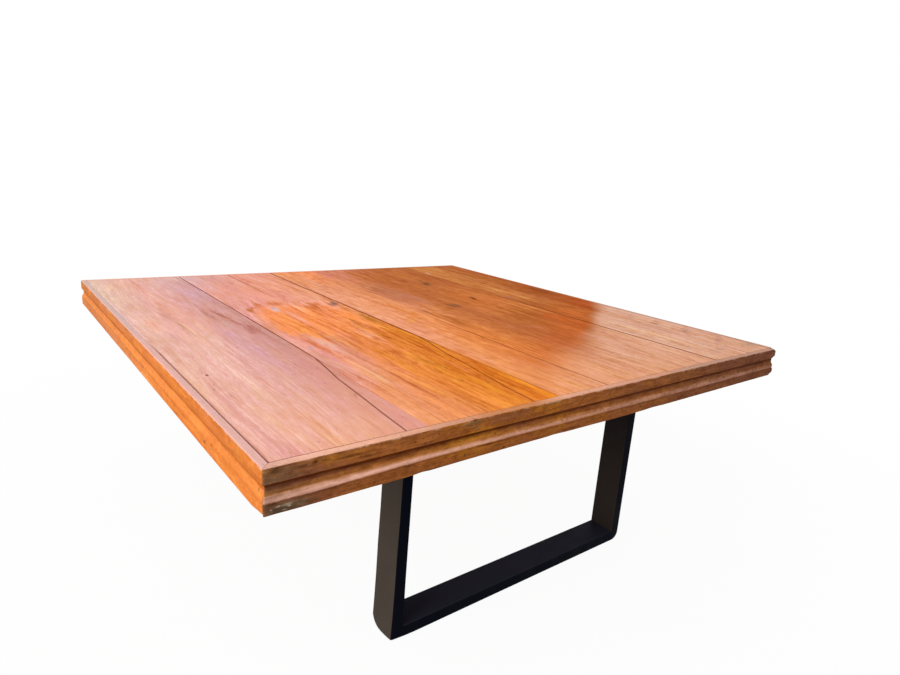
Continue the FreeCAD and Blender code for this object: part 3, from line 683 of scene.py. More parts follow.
def arc(a, b, c, count):
    """Points from a to c on the circle through a, b and c, without a itself."""
    (ax, ay), (bx, by), (cx, cy) = a, b, c
    d = 2 * (ax * (by - cy) + bx * (cy - ay) + cx * (ay - by))
    sa, sb, sc = ax * ax + ay * ay, bx * bx + by * by, cx * cx + cy * cy
    ox = (sa * (by - cy) + sb * (cy - ay) + sc * (ay - by)) / d
    oy = (sa * (cx - bx) + sb * (ax - cx) + sc * (bx - ax)) / d
    radius = math.hypot(ax - ox, ay - oy)
    start = math.atan2(ay - oy, ax - ox)
    middle = (math.atan2(by - oy, bx - ox) - start + math.pi) % (2 * math.pi) - math.pi
    end = (math.atan2(cy - oy, cx - ox) - start + math.pi) % (2 * math.pi) - math.pi
    if middle * end < 0:
        end += math.copysign(2 * math.pi, middle)
    turns = [start + end * (i + 1) / count for i in range(count)]
    return [(ox + radius * math.cos(t), oy + radius * math.sin(t)) for t in turns]


def line(a, b, count):
    """Points from a to b, without a itself."""
    shares = [(i + 1) / count for i in range(count)]
    return [(a[0] + (b[0] - a[0]) * share, a[1] + (b[1] - a[1]) * share) for share in shares]


def moulding_section():
    """The closed section as (depth inwards, drop from the top), from the top's inner edge."""
    bend = 1 - math.cos(math.pi / 4)
    top, low, band = 0.0035, 0.0025, 0.0035
    shares = ((0.83, 0.12), (1.0, 0.33), (0.93, 0.49), (0.61, 0.67), (0.19, 0.83), (0.0, 1.0))
    cove = [(deep * COVE, LIP + way * (RIDGE - LIP)) for deep, way in shares]
    points = [(THICK, 0.0)]
    points += line(points[-1], (top, 0.0), 4)
    points += arc(points[-1], (top * bend, top * bend), (0.0, top), 4)
    points += line(points[-1], (0.0, LIP - low), 7)
    points += arc(points[-1], (low * bend, LIP - low * bend), (low, LIP), 3)
    points += arc(points[-1], cove[0], cove[1], 5)
    points += arc(points[-1], cove[2], cove[3], 5)
    points += arc(points[-1], cove[4], cove[5], 5)
    points += line(points[-1], (0.0, DEPTH - band), 7)
    points += arc(points[-1], (band * bend, DEPTH - band * bend), (band, DEPTH), 4)
    points += line(points[-1], (THICK, DEPTH), 3)
    points += line(points[-1], points[0], 4)[:-1]
    return points


# Dents: side, place along, drop, half length, half height, depth inwards, rise. Millimetres.
DENTS = (
    ("front", -474, 2, 7, 7, 2.2, -1.5),
    ("front", -470, 14, 40, 14, 0.7, 0.0),
    ("front", -790, 44, 34, 3, 1.6, 0.0),
    ("front", -320, 100, 400, 10, 0.7, 2.0),
    ("front", -622, 100, 24, 7, 0.8, 1.0),
    ("front", -190, 100, 46, 7, 0.8, 0.9),
    ("front", 240, 100, 60, 6, 0.8, 1.0),
    ("front", -960, 92, 60, 14, 1.0, 0.5),
    ("left", 990, 100, 64, 18, 1.6, 4.6),
    ("left", 300, 2, 60, 5, 1.0, 0.0),
)
# The right front corner is worn on both of its sides: drop, half length, half height, depth, rise.
CORNER_WEAR = (
    (0, 16, 10, 3.0, -4.0), (35, 16, 8, 3.0, 3.0), (69, 14, 8, 2.5, -2.5), (100, 20, 12, 3.0, 4.0),
)
DENTS += tuple(corner + dent for corner in (("front", 980), ("right", -980)) for dent in CORNER_WEAR)
# Slow waves of the front's ridge: place along, half length and how far it lies lower, in millimetres.
RIDGE_WAVES = ((-930, 280, 3.2), (-520, 340, -1.6), (600, 700, 2.2))
WAVE_REACH = 0.012


def placed(name, data):
    """A new object of the scene."""
    made = bpy.data.objects.new(name, data)
    bpy.context.scene.collection.objects.link(made)
    return made


def bump_share(distance):
    """1 at 0, falling smoothly to 0 at 1."""
    left = max(0.0, 1.0 - distance * distance)
    return left * left


def worn(side, along, deep, drop, seed):
    """Move one point of the section: slow waves, small unevenness, dents and a wavering ridge."""
    if deep > THICK - 0.002:
        return deep, drop
    outside = 1.0 - deep / THICK
    wave = noise.noise(Vector((along * 2.6, seed, drop * 9)))
    small = noise.noise(Vector((along * 38, seed + 5, drop * 70)))
    inwards = max(0.0, 0.0004 + 0.0005 * wave + 0.0003 * small) * outside
    ridge = bump_share((drop - RIDGE) / WAVE_REACH)
    rise = ridge * 0.0004 * noise.noise(Vector((along * 3.1, seed + 9, 0)))
    if side == "front":
        for place, half, lower in RIDGE_WAVES:
            rise -= ridge * lower / 1000 * bump_share((along * 1000 - place) / half)
    for name, place, at_drop, half_along, half_drop, depth, lift in DENTS:
        if name == side:
            reach = math.hypot((along * 1000 - place) / half_along, (drop * 1000 - at_drop) / half_drop)
            share = bump_share(min(1.0, reach))
            inwards += share * depth / 1000
            rise += share * lift / 1000 * outside
    return deep + inwards, min(DEPTH, max(0.0, drop - rise))


def build_moulding(side, turn, seed):
    """A swept, mitred and worn moulding. It is made at the front and turned to its side."""
    section = moulding_section()
    count = round(2 * (HALF - ROUND) / STEP)
    stations = [("arc", -1, CORNER_STEPS - i) for i in range(CORNER_STEPS)]
    stations += [("run", 0, i / count) for i in range(count + 1)]
    stations += [("arc", 1, i + 1) for i in range(CORNER_STEPS)]
    points = []
    for kind, end, value in stations:
        for deep, drop in section:
            along = (2 * value - 1) * HALF if kind == "run" else end * HALF
            deep_now, drop_now = worn(side, along, deep, drop, seed)
            if kind == "arc" and value == CORNER_STEPS:
                deep_now += 0.0005 * (1.0 - deep / THICK)
            half = HALF - deep_now
            radius = ROUND * (1.0 - min(1.0, deep_now / THICK))
            if kind == "run":
                x, y = (2 * value - 1) * (half - radius), -half
            else:
                angle = math.radians(45) * value / CORNER_STEPS
                x = end * (half - radius + radius * math.sin(angle))
                y = -(half - radius + radius * math.cos(angle))
            points.append((x, y, TOP - drop_now))
    ring = len(section)
    faces = []
    for i in range(len(stations) - 1):
        for j in range(ring):
            k = (j + 1) % ring
            faces.append((i * ring + j, i * ring + k, (i + 1) * ring + k, (i + 1) * ring + j))
    faces.append(tuple(reversed(range(ring))))
    faces.append(tuple(range((len(stations) - 1) * ring, len(stations) * ring)))
    mesh = bpy.data.meshes.new("worn_moulding_" + side)
    mesh.from_pydata(points, [], faces)
    mesh.transform(Matrix.Rotation(math.radians(turn), 4, "Z"))
    mesh.update()
    mesh.polygons.foreach_set("use_smooth", [True] * len(mesh.polygons))
    mesh.set_sharp_from_angle(angle=math.radians(SMOOTH_BELOW))
    return placed("worn_moulding_" + side, mesh)


def run_stops(pairs):
    """Ramp stops along a side from (place along, colour or value) pairs."""
    stops = []
    for place, colour in pairs:
        if not isinstance(colour, tuple):
            colour = grey(colour)
        stops.append(((place + HALF) / (2 * HALF), colour))
    return stops


def band_ramp(g, profile, pairs):
    """A value along the profile from (share of the depth, value) pairs."""
    return g.ramp(profile, [(position, grey(value)) for position, value in pairs])


def bump_nodes(g, distance):
    """The same falling bump as bump_share, in nodes."""
    left = g.math("MAXIMUM", g.math("MULTIPLY_ADD", g.times(distance, distance), -1.0, 1.0), 0.0)
    return g.times(left, left)


def unwaved_drop(g, drop):
    """How far below the top a place of the front lies, with the ridge's waves taken off again."""
    lower = 0.0
    for place, half, amount in RIDGE_WAVES:
        away = g.math("MULTIPLY_ADD", g.x, 1000 / half, -place / half)
        lower = g.math("MULTIPLY_ADD", bump_nodes(g, away), amount / 1000, lower)
    away = g.minus(g.minus(drop, lower), RIDGE)
    share = bump_nodes(g, g.math("DIVIDE", away, WAVE_REACH))
    return g.minus(drop, g.times(share, lower))


def edge_paint(g, colour, flecks, way, place, drop, half_along, half_drop, mark, strength, soft=SOFT):
    """The colour of a moulding with one mark painted over it, in millimetres along and below the top."""
    middle = [0, 0, TOP - drop / 1000]
    sizes = [MARK_DEPTH, MARK_DEPTH, half_drop / 1000]
    middle[way] = place / 1000
    sizes[way] = half_along / 1000
    waver = g.swing(flecks, 0.007 if min(half_along, half_drop) > 6 else 0.003)
    local = g.mapped(g.vector("ADD", g.place, waver), middle, (0, 0, 0), sizes, "TEXTURE")
    return g.mix(g.times(g.step(g.length(local), 1.0, 1.0 - soft), strength), colour, mark)


def moulding_material(side, way, tones, strip, highlight_along, dark, marks):
    """The moulded edge's wood: grain along the side, painted highlight and painted shade along the
    profile, wear, marks.
    """
    g = new_material("edge_wood_" + side)
    left = side == "left"

    def stretched(length, height, seed, detail=3.0, rough=0.6, warp=0.0):
        scale = [height, height, height]
        scale[way] = length
        return g.noise(scale, (seed, 0.6 * seed, 1.3 * seed), detail, rough, warp)

    fibres = stretched(2.6, 150, 1.3)
    pores = stretched(16, 420, 2.1, 2.0)
    clouds = stretched(9, 26, 4.1, 4.0, 0.65, 0.4)
    blotches = stretched(30, 62, 3.3, 4.0, 0.7, 0.5)
    flecks = stretched(70, 130, 5.1, 4.0, 0.7, 0.6)
    warm = stretched(7, 22, 7.7, 3.0, 0.6, 0.6)
    grit = stretched(95, 240, 6.4, 2.0, 0.5, 0.3)
    run = g.spread(g.total((g.x, g.y)[way], g.swing(fibres, 0.12)), -HALF, HALF)
    colour = g.ramp(run, run_stops(tones))
    highlight_tone, shade_tone, gold_tone, low_tone = LEFT_TONES if left else BROWN_TONES
    lively = g.ramp(run, run_stops(LIVELY[side]))
    colour = g.mix(g.times(g.step(warm, 0.5, 0.85), lively, 0.75), colour, gold_tone)
    dull = g.times(g.step(warm, 0.42, 0.12), g.step(clouds, 0.3, 0.7), 0.5)
    colour = g.mix(dull, colour, low_tone)

    drop = g.minus(TOP, g.z)
    profile = unwaved_drop(g, drop) if side == "front" else drop
    profile = g.total(profile, g.total(g.swing(blotches, 0.002), g.swing(fibres, 0.0015)))
    profile = g.math("DIVIDE", profile, DEPTH)
    highlight_band = band_ramp(g, profile, HIGHLIGHT_LEFT if left else HIGHLIGHT_BROWN)
    # The painted highlight on the ogee above the ridge; on the brown sides its upper part is amber.
    up = g.times(highlight_band, g.ramp(run, run_stops(highlight_along)))
    if not left:
        highlight_tone = g.mix(g.step(profile, 0.56, 0.64), HIGHLIGHT_AMBER, highlight_tone)
    colour = g.mix(up, colour, highlight_tone)
    # The painted shade: a shadow under the lip and a line below the ridge, and on the left side also a
    # darker lip.
    down = g.times(band_ramp(g, profile, SHADE_LEFT if left else SHADE_BROWN), dark)
    colour = g.mix(down, colour, shade_tone)

    # The worn arris shows raw pale wood here and there, and the mitres are dark lines.
    ragged = g.total(drop, g.swing(flecks, 0.0007 if left else 0.0013))
    bare = g.times(g.step(ragged, 0.0005, 0.0018), g.step(ragged, 0.0055, 0.0025))
    bare = g.times(bare, g.step(blotches, 0.45, 0.75), 0.6)
    colour = g.mix(bare, colour, g.mix(flecks, STRIP_DUSK, EDGE_BARE))
    top = g.step(ragged, 0.0020, 0.0006)
    colour = g.mix(top, colour, g.ramp(run, run_stops(strip)))
    apart = g.minus(g.math("ABSOLUTE", g.x), g.math("ABSOLUTE", g.y))
    mitre = g.times(g.step(g.math("ABSOLUTE", apart), 0.0016, 0.0006), top, 0.45)
    colour = g.mix(mitre, colour, GROOVE)
    for mark in marks:
        colour = edge_paint(g, colour, flecks, way, *mark)

    light = g.total(g.swing(clouds, 0.42), g.swing(fibres, 0.34), g.swing(blotches, 0.44))
    light = g.total(light, g.swing(flecks, 0.52), g.swing(pores, 0.34))
    light = g.times(light, g.step(top, 0.0, 1.0, 1.0, 0.35), g.step(up, 0.2, 0.9, 1.0, 0.55))
    light = g.math("MAXIMUM", g.total(g.times(light, GRAIN_SHARE[side]), 1.0), 0.3)
    shade = g.rgb(g.math("POWER", light, 0.8), light, g.math("POWER", light, 1.25))
    colour = g.mix(1.0, colour, shade, "MULTIPLY")
    speck = g.times(g.step(grit, 0.84, 1.0), g.step(clouds, 0.35, 0.7), g.step(up, 0.1, 0.5, 0.75, 0.0))
    colour = g.mix(speck, colour, KNOT if left else EDGE_DARK)
    rough = g.step(clouds, 0.3, 0.7, 0.42, 0.62)
    height = g.total(g.times(fibres, 0.5), g.times(pores, 0.3), g.times(flecks, 0.4))
    levels = {"Specular_IOR_Level": 0.0, "Coat_Weight": 0.05, "Coat_Roughness": 0.3}
    return g.finish(colour, rough, height, 0.4, 0.0008, **levels)


# Tones of the mouldings; the browns of the front, right and back are partly painted shade beside the left
# side's oranges.
EDGE_GREY = tone(124, 88, 62)
EDGE_BROWN = tone(154, 90, 46)
EDGE_GOLD = tone(160, 92, 38)
EDGE_RED = tone(130, 78, 52)
EDGE_DARK = tone(52, 24, 10)
EDGE_SHADE = tone(84, 34, 6)
EDGE_HIGHLIGHT = tone(248, 188, 164)
HIGHLIGHT_AMBER = tone(214, 138, 66)
EDGE_OCHRE = tone(186, 116, 34)
EDGE_BARE = tone(196, 166, 140)
EDGE_MOSS = tone(108, 98, 74)
EDGE_SOOT = tone(72, 60, 46)
EDGE_DUSK = tone(122, 74, 52)
EDGE_ORANGE = tone(208, 119, 52)
EDGE_ORANGE_DULL = tone(198, 122, 74)
ORANGE_HIGHLIGHT = tone(222, 134, 70)
ORANGE_SHADE = tone(172, 92, 36)
ORANGE_YELLOW = tone(222, 138, 62)
ORANGE_PINK = tone(204, 122, 84)

# Tones of the painted highlight and the painted shade along the profile, and of patches of gold and of
# dull.
BROWN_TONES = (EDGE_HIGHLIGHT, EDGE_SHADE, EDGE_OCHRE, EDGE_DUSK)
LEFT_TONES = (ORANGE_HIGHLIGHT, ORANGE_SHADE, ORANGE_YELLOW, ORANGE_PINK)
# Where gold patches show, by place along the side.
LIVELY = {
    "front": ((-0.98, 0.5), (-0.7, 1.0), (-0.3, 0.9), (0.1, 0.35), (0.98, 0.1)),
    "right": ((-0.98, 0.3), (0.98, 0.3)),
    "back": ((-0.98, 0.3), (0.98, 0.3)),
    "left": ((-0.98, 0.9), (0.98, 0.9)),
}
# Painted highlight and painted shade along the profile of the three brown sides and of the left one, by
# the drop as a share of the depth.
HIGHLIGHT_BROWN = ((0.48, 0), (0.53, 0.26), (0.585, 0.66), (0.635, 1), (0.68, 0.74), (0.70, 0.1), (0.72, 0))
SHADE_BROWN = (
    (0.325, 0), (0.35, 1), (0.42, 0.85), (0.45, 0.45), (0.50, 0.15), (0.55, 0),
    (0.70, 0), (0.72, 0.42), (0.755, 0.1),
)
HIGHLIGHT_LEFT = ((0.47, 0), (0.51, 0.55), (0.60, 0.6), (0.66, 0.3), (0.70, 0))
SHADE_LEFT = (
    (0.1, 0.3), (0.28, 0.45), (0.335, 0.9), (0.46, 0.9), (0.50, 0.1),
    (0.62, 0.0), (0.69, 0.4), (0.74, 0.1), (0.85, 0.0), (1, 0.1),
)
# How strong the grain is.
GRAIN_SHARE = {"front": 1.15, "right": 0.8, "back": 0.8, "left": 0.6}

# Marks of the mouldings: place along, drop, half length, half height, tone, strength, and where it
# differs from the usual softness. Millimetres.
FRONT_MARKS = (
    (-950, 16, 60, 24, EDGE_GREY, 0.5), (-955, 8, 14, 9, EDGE_DARK, 0.5, 0.8),
    (-900, 12, 14, 5, EDGE_DARK, 0.6), (-874, 10, 9, 6, EDGE_DARK, 0.7),
    (-850, 11, 16, 4, EDGE_DARK, 0.55), (-800, 16, 55, 5, EDGE_DARK, 0.5, 0.8),
    (-760, 25, 40, 3, EDGE_DARK, 0.45, 0.8), (-790, 42.5, 32, 2.0, EDGE_DARK, 0.9, 0.6),
    (-612, 29, 3.5, 7, EDGE_SOOT, 0.7), (-640, 12, 14, 3, EDGE_DARK, 0.45),
    (-478, 9, 52, 9, EDGE_MOSS, 0.6, 0.95), (-468, 22, 16, 9, EDGE_GREY, 0.6),
    (-979.6, 17, 1.6, 20, EDGE_DARK, 0.75, 0.6), (-979.6, 88, 1.4, 16, EDGE_DARK, 0.6, 0.6),
    (-210, 3, 50, 3, EDGE_BARE, 0.55), (20, 3, 30, 3, EDGE_BARE, 0.5),
    (-920, 88, 70, 16, EDGE_MOSS, 0.6), (-940, 90, 44, 12, EDGE_SOOT, 0.8, 0.8),
    (-930, 84, 16, 5, EDGE_BARE, 0.5), (-300, 98, 50, 3, EDGE_DARK, 0.6),
    (-600, 97, 60, 3, EDGE_DARK, 0.5), (968, 16, 16, 14, EDGE_MOSS, 0.5),
    (-474, 3, 5, 4, EDGE_DARK, 0.6), (-948, 84, 7, 3, EDGE_BARE, 0.7, 0.8),
    (-926, 88, 6, 3, EDGE_BARE, 0.5, 0.8), (-962, 88, 4, 3, EDGE_BARE, 0.6, 0.8),
    (-936, 94, 9, 2.5, EDGE_BARE, 0.5, 0.8), (-960, 76, 18, 8, EDGE_DARK, 0.4),
    (-498, 84, 5, 8, EDGE_SOOT, 0.7), (-376, 92, 8, 5, EDGE_DARK, 0.7),
    (-425, 71.5, 65, 2.2, EDGE_DARK, 0.7, 0.8), (-385, 80, 40, 2.2, EDGE_DARK, 0.6, 0.8),
    (-120, 90, 60, 3, EDGE_DARK, 0.4), (950, 88, 50, 14, EDGE_DUSK, 0.5),
    (965, 20, 30, 18, EDGE_DUSK, 0.5),
)
LEFT_MARKS = (
    (-645, 79, 13, 7, KNOT, 0.75, 0.8), (-600, 84, 22, 5, ORANGE_YELLOW, 0.7),
    (138, 70, 12, 4, KNOT, 0.5, 0.8), (44, 72, 8, 4, KNOT, 0.5, 0.8), (-60, 93, 12, 7, CREAM, 0.4),
    (-694, 67, 12, 4, KNOT, 0.45, 0.8), (-424, 90, 8, 5, KNOT, 0.4, 0.8),
    (120, 4.5, 34, 1.6, KNOT, 0.7), (60, 4, 22, 1.4, KNOT, 0.6), (10, 5, 18, 1.4, KNOT, 0.5),
    (60, 8, 30, 3, CREAM, 0.4), (-700, 36, 200, 1.5, KNOT, 0.35), (-560, 22, 160, 1.5, KNOT, 0.3),
    (-951, 54, 4, 6, EDGE_DARK, 0.5, 0.8),
)
LEFT_STRIP = tone(215, 182, 170)
LEFT_STRIP_LILAC = tone(206, 172, 166)
LEFT_STRIP_PINK = tone(219, 170, 160)
STRIP_SHELL = tone(222, 172, 152)
STRIP_PEACH = tone(228, 168, 140)
STRIP_CREAM = tone(236, 180, 156)
STRIP_TAN = tone(214, 154, 126)
STRIP_BROWN = tone(206, 136, 90)
STRIP_DUSK = tone(198, 152, 130)
FRONT_STRIP = (
    (-0.98, STRIP_SHELL), (-0.90, STRIP_CREAM), (-0.70, STRIP_PEACH), (-0.55, STRIP_TAN),
    (-0.42, STRIP_BROWN), (-0.29, STRIP_BROWN), (-0.16, STRIP_PEACH), (0.3, STRIP_TAN), (0.4, STRIP_DUSK),
)
# Each side: turn about Z, the axis it runs along (0 for X, 1 for Y), tones along it, its top strip's tones
# (the pale ones part painted sheen, as on the planks), how strong the painted highlight at the ridge is
# along it, how strong the painted shade in the cove is, and its marks. The three brown sides are darker
# than the orange left side, partly as painted shade, since the left side faces the light.
EDGES = (
    (
        "front", 0, 0,
        (
            (-0.98, EDGE_GREY), (-0.90, EDGE_RED), (-0.80, EDGE_BROWN), (-0.45, EDGE_GOLD),
            (0.0, EDGE_BROWN), (0.6, EDGE_RED),
        ),
        FRONT_STRIP,
        ((-0.98, 0.5), (-0.9, 0.8), (-0.8, 1.0), (-0.6, 0.85), (-0.25, 0.55), (0.25, 0.36), (0.98, 0.26)),
        1.0, FRONT_MARKS,
    ),
    (
        "right", 90, 1, ((-0.98, EDGE_BROWN), (0.98, EDGE_BROWN)),
        ((-0.2, STRIP_DUSK), (0.0, NUT)), ((-0.98, 0.2), (0.98, 0.2)), 0.8, (),
    ),
    (
        "back", 180, 0, ((-0.98, EDGE_BROWN), (0.98, EDGE_RED)),
        ((-0.98, STRIP_PEACH), (0.0, CORAL), (0.4, NUT)), ((-0.98, 0.2), (0.98, 0.2)), 0.8, (),
    ),
    (
        "left", 270, 1, ((-0.4, EDGE_ORANGE), (0.4, EDGE_ORANGE_DULL)),
        ((-0.1, LEFT_STRIP_PINK), (0.27, LEFT_STRIP_LILAC), (0.9, LEFT_STRIP)),
        ((-0.98, 0.8), (0.98, 1.0)), 1.0, LEFT_MARKS,
    ),
)

for index, (side, turn, *looks) in enumerate(EDGES):
    piece = build_moulding(side, turn, SIDE_SEED_STEP * index)
    dress(piece, moulding_material(side, *looks))
    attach(piece, "root")
    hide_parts("edge_moulding_" + side)


def bearer_material():
    """Sawn, unfinished wood."""
    g = new_material("sawn_wood")
    fibres = g.noise((60, 60, 60), detail=4.0, rough=0.6, warp=0.5)
    clouds = g.noise((5, 5, 20), (1, 2, 3), 3.0, 0.6)
    colour = g.mix(fibres, RAW_DARK, RAW)
    colour = g.mix(g.times(clouds, 0.6), colour, tone(150, 104, 66))
    return g.finish(colour, 0.75, fibres, 0.4, 0.0008, Specular_IOR_Level=0.3)


def steel_material():
    """Matt black paint on steel, slightly uneven, with painted light: warm grey-brown on the faces towards
    the left, weaker higher up on the right frame, and bluish grey on the upward faces.
    """
    g = new_material("black_paint")
    grain = g.noise((900, 900, 900), rough=0.6)
    clouds = g.noise((9, 9, 5), (2, 2, 2), 4.0, 0.65)
    shading_x = g.split(g.node("ShaderNodeNewGeometry").outputs["Normal"])[0]
    leftwards = g.step(shading_x, -0.3, -0.95)
    # Painted light on the faces towards the left: full on the left frame; on the right frame it fades
    # higher up, as painted shade under the top.
    painted_side_light = g.times(g.step(g.z, 0.15, 0.7, 0.55, 0.15), g.step(g.x, -0.1, 0.1))
    painted_side_light = g.total(painted_side_light, g.step(g.x, 0.1, -0.1, 0.0, 0.88))
    colour = g.mix(clouds, tone(3, 5, 13), tone(7, 10, 22))
    colour = g.mix(g.times(leftwards, painted_side_light), colour, tone(71, 62, 54))
    # A painted sheen makes the upward faces bluish grey.
    colour = g.mix(g.step(g.facing_z, 0.4, 0.9), colour, tone(44, 45, 57))
    rough = g.step(clouds, 0.3, 0.7, 0.42, 0.58)
    return g.finish(colour, rough, grain, 0.18, 0.0002, Specular_IOR_Level=0.015)


def plated_material():
    """Dull zinc plating."""
    g = new_material("zinc_plating")
    grain = g.noise((700, 700, 700), detail=3.0, rough=0.6)
    clouds = g.noise((120, 120, 120), (3, 1, 0), 3.0, 0.6)
    colour = g.mix(clouds, tone(150, 148, 142), tone(196, 194, 188))
    rough = g.step(grain, 0.3, 0.7, 0.32, 0.5)
    return g.finish(colour, rough, grain, 0.2, 0.0002, Metallic=1.0)


sawn, steel, plated = bearer_material(), steel_material(), plated_material()
for name, node in nodes.items():
    finish = None
    if "bearer" in name or name == "board_tongues":
        finish = sawn
    elif "screws" in name or "washers" in name:
        finish = plated
    elif "leg_" in name:
        finish = steel
    if finish:
        dress(node, finish)


# The front frame's left foot: in the photograph its outer corner is nearly square, its rear lower
# corner is round, and the post leans a little. The post and the bar are shaped from copies.
POST_LEFT = -0.507
POST_RIGHT = -0.471
FRAME_FRONT = -0.745
FRAME_DEPTH = 0.100
CORNER_RADIUS = 0.030
SQUARENESS = 14
# The rear lower corner's round, the front one's rise, and where along X the rise and lean end.
REAR_CENTRE_Y = -0.686
REAR_RADIUS = 0.042
FRONT_LIFT = 0.006
LIFT_END = -0.420
LEAN_END = -0.400
# How far the post's outer and inner faces lie further right, by height.
LEAN_OUTER = (
    (0.0, -0.0076), (0.09, -0.0042), (0.17, -0.0020), (0.27, -0.0006), (0.44, 0.0043), (0.70, 0.0055),
)
LEAN_INNER = ((0.17, -0.0010), (0.27, 0.0), (0.50, 0.0030), (0.70, 0.0040))
# Where the copies are cut, so that they can bend.
CUTS_Z = (0.004, 0.010, 0.016, 0.022, 0.028, 0.034, 0.044, 0.055, 0.07, 0.09, 0.12, 0.17, 0.27, 0.38, 0.50)
CUTS_X = (-0.50, -0.49, -0.48, -0.46, -0.45, -0.44, -0.43, -0.42, -0.40)
SLICES_Y = 16
FOOT_SMOOTH_BELOW = 30


def between(pairs, value):
    """The value of a line through (place, value) pairs."""
    for (a, low), (b, high) in zip(pairs, pairs[1:]):
        if value <= b:
            return low + (high - low) * max(0.0, value - a) / (b - a)
    return pairs[-1][1]


def shaped(x, y, z):
    """Where a point of the left foot lies in the photograph."""
    side, down = POST_LEFT + CORNER_RADIUS - x, CORNER_RADIUS - z
    if side > 0 and down > 0:
        length = math.hypot(side, down)
        c, s = side / length, down / length
        grow = (c ** SQUARENESS + s ** SQUARENESS) ** (-1 / SQUARENESS)
        x, z = x - side * (grow - 1), z - down * (grow - 1)
    share = max(0.0, (LIFT_END - x) / (LIFT_END - POST_LEFT)) ** 2
    if y > REAR_CENTRE_Y:
        lift = REAR_RADIUS - math.sqrt(max(0.0, REAR_RADIUS ** 2 - (y - REAR_CENTRE_Y) ** 2))
    else:
        lift = FRONT_LIFT * ((REAR_CENTRE_Y - y) / (REAR_CENTRE_Y - FRAME_FRONT)) ** 2
    above = 2 * REAR_RADIUS
    if z < above:
        z += min(1.0, share) * lift * (1 - z / above)
    across = min(1.0, max(0.0, (POST_RIGHT - x) / (POST_RIGHT - POST_LEFT)))
    fade = min(1.0, max(0.0, (LEAN_END - x) / (LEAN_END - POST_RIGHT)))
    inner = between(LEAN_INNER, z)
    return x + fade * (inner + (between(LEAN_OUTER, z) - inner) * across), y, z


def shape_foot(node_name, piece_name):
    """A copy of a CAD piece, cut finely enough to follow the foot's real shape."""
    body = bmesh.new()
    body.from_mesh(nodes[node_name].data)
    cuts = [((0, 0, z), (0, 0, 1)) for z in CUTS_Z] + [((x, 0, 0), (1, 0, 0)) for x in CUTS_X]
    cuts += [((0, FRAME_FRONT + FRAME_DEPTH * i / SLICES_Y, 0), (0, 1, 0)) for i in range(1, SLICES_Y)]
    for place, normal in cuts:
        everything = body.verts[:] + body.edges[:] + body.faces[:]
        bmesh.ops.bisect_plane(body, geom=everything, plane_co=place, plane_no=normal)
    for vertex in body.verts:
        vertex.co = shaped(*vertex.co)
    mesh = bpy.data.meshes.new(piece_name)
    body.to_mesh(mesh)
    body.free()
    mesh.polygons.foreach_set("use_smooth", [True] * len(mesh.polygons))
    mesh.set_sharp_from_angle(angle=math.radians(FOOT_SMOOTH_BELOW))
    return placed(piece_name, mesh)


for node_name, piece_name in (
        ("front_leg_left_post", "shaped_left_post"), ("front_leg_bottom_bar", "shaped_bottom_bar")):
    piece = shape_foot(node_name, piece_name)
    dress(piece, steel)
    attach(piece, "root")
    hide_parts(node_name)


# Floor, light and camera
FLOOR_REACH = 40.0
FLOOR_DROP = 0.001
# How nearly white the camera sees the floor by the table, and how far the table's shadow reaches.
FLOOR_SEEN = 0.95
SHADOW_REACH = (1.5, 3.0)
FILL = 0.52
# The camera that the photograph's straight edges give: place, turn, tilt and roll, focal length.
CAMERA_PLACE = (-1.37636, -1.98891, 1.30448)
CAMERA_ANGLES = (-38.739, 14.7175, 4.2267)
FOCAL_LENGTH = 25.2125
SENSOR_WIDTH = 36


def looking(g):
    """1 for what the camera sees, also in reflections and through glass."""
    path = g.node("ShaderNodeLightPath").outputs
    reflected = g.math("MAXIMUM", path["Is Glossy Ray"], path["Is Transmission Ray"])
    return g.math("MAXIMUM", path["Is Camera Ray"], reflected)


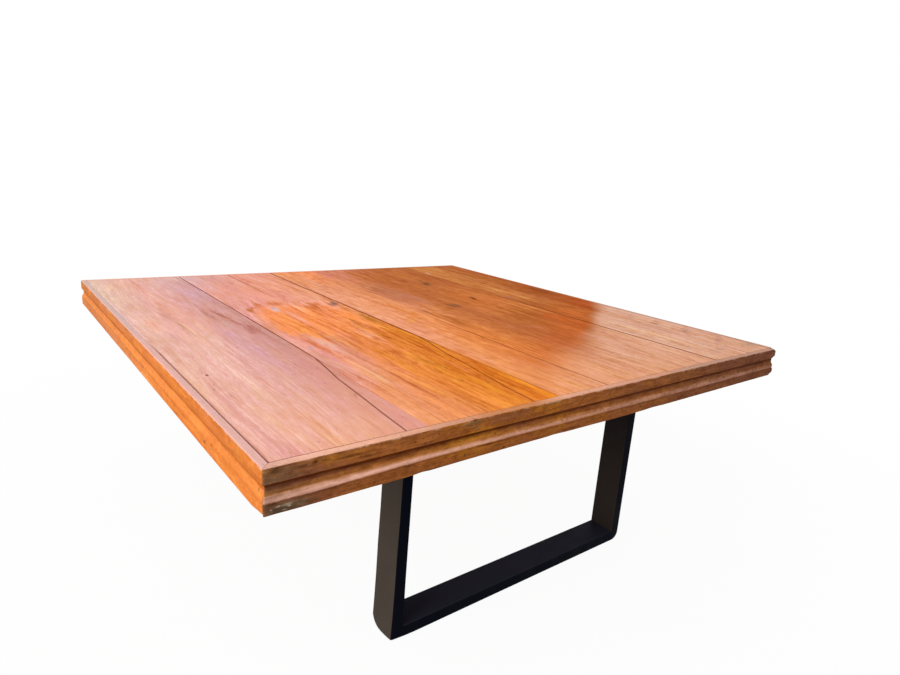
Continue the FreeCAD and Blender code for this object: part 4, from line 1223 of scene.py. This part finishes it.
def stage_floor():
    """A wide pale floor that the camera sees as nearly white, with the table's shadow on it."""
    mesh = bpy.data.meshes.new("floor")
    corners = [(x * FLOOR_REACH, y * FLOOR_REACH, 0) for x, y in ((-1, -1), (1, -1), (1, 1), (-1, 1))]
    mesh.from_pydata(corners, [], [(0, 1, 2, 3)])
    floor = placed("floor", mesh)
    floor.location.z = -FLOOR_DROP
    g = new_material("pale_floor")
    pale = g.mix(g.noise((30, 30, 30)), (0.86, 0.86, 0.86, 1), (0.90, 0.90, 0.90, 1))
    matt = g.node("ShaderNodeBsdfDiffuse", {0: pale}).outputs[0]
    white = g.node("ShaderNodeEmission", {0: (1, 1, 1, 1), 1: 1.0}).outputs[0]
    share = g.times(looking(g), g.step(g.length(g.place), *SHADOW_REACH, FLOOR_SEEN, 1.0))
    both = g.node("ShaderNodeMixShader", {0: share, 1: matt, 2: white}).outputs[0]
    g.node("ShaderNodeOutputMaterial", {0: both})
    mesh.materials.append(g.owner)


def white_world():
    """White for what looks at it, and an even fill light for everything else."""
    g = Graph(bpy.data.worlds.new("studio"))
    level = g.node("ShaderNodeMapRange", {0: looking(g), 3: FILL}).outputs[0]
    background = g.node("ShaderNodeBackground", {0: (1, 1, 1, 1), 1: level}).outputs[0]
    g.node("ShaderNodeOutputWorld", {0: background})
    bpy.context.scene.world = g.owner


def softbox(name, place, target, size, power):
    """A large square lamp that looks at a point."""
    lamp = bpy.data.lights.new(name, "AREA")
    lamp.shape = "SQUARE"
    lamp.size = size
    lamp.energy = power
    holder = placed(name, lamp)
    holder.location = place
    holder.rotation_euler = (Vector(target) - Vector(place)).to_track_quat("-Z", "Y").to_euler()


def photo_camera():
    yaw, pitch, roll = (math.radians(angle) for angle in CAMERA_ANGLES)
    turn = Matrix.Rotation(yaw, 4, "Z") @ Matrix.Rotation(math.pi / 2 - pitch, 4, "X")
    data = bpy.data.cameras.new("camera")
    data.lens = FOCAL_LENGTH
    data.sensor_width = SENSOR_WIDTH
    data.clip_start = 0.05
    data.clip_end = 200
    camera = placed("camera", data)
    camera.matrix_world = Matrix.Translation(CAMERA_PLACE) @ turn @ Matrix.Rotation(roll, 4, "Z")
    bpy.context.scene.camera = camera


stage_floor()
white_world()
softbox("key", (-5.0, -1.0, 3.5), (0, 0, 0.7), 4.0, 260)
softbox("overhead", (2.5, 0.5, 4.5), (0.4, 0, 0.7), 4.0, 42)
photo_camera()
bpy.context.scene.view_settings.view_transform = "Standard"
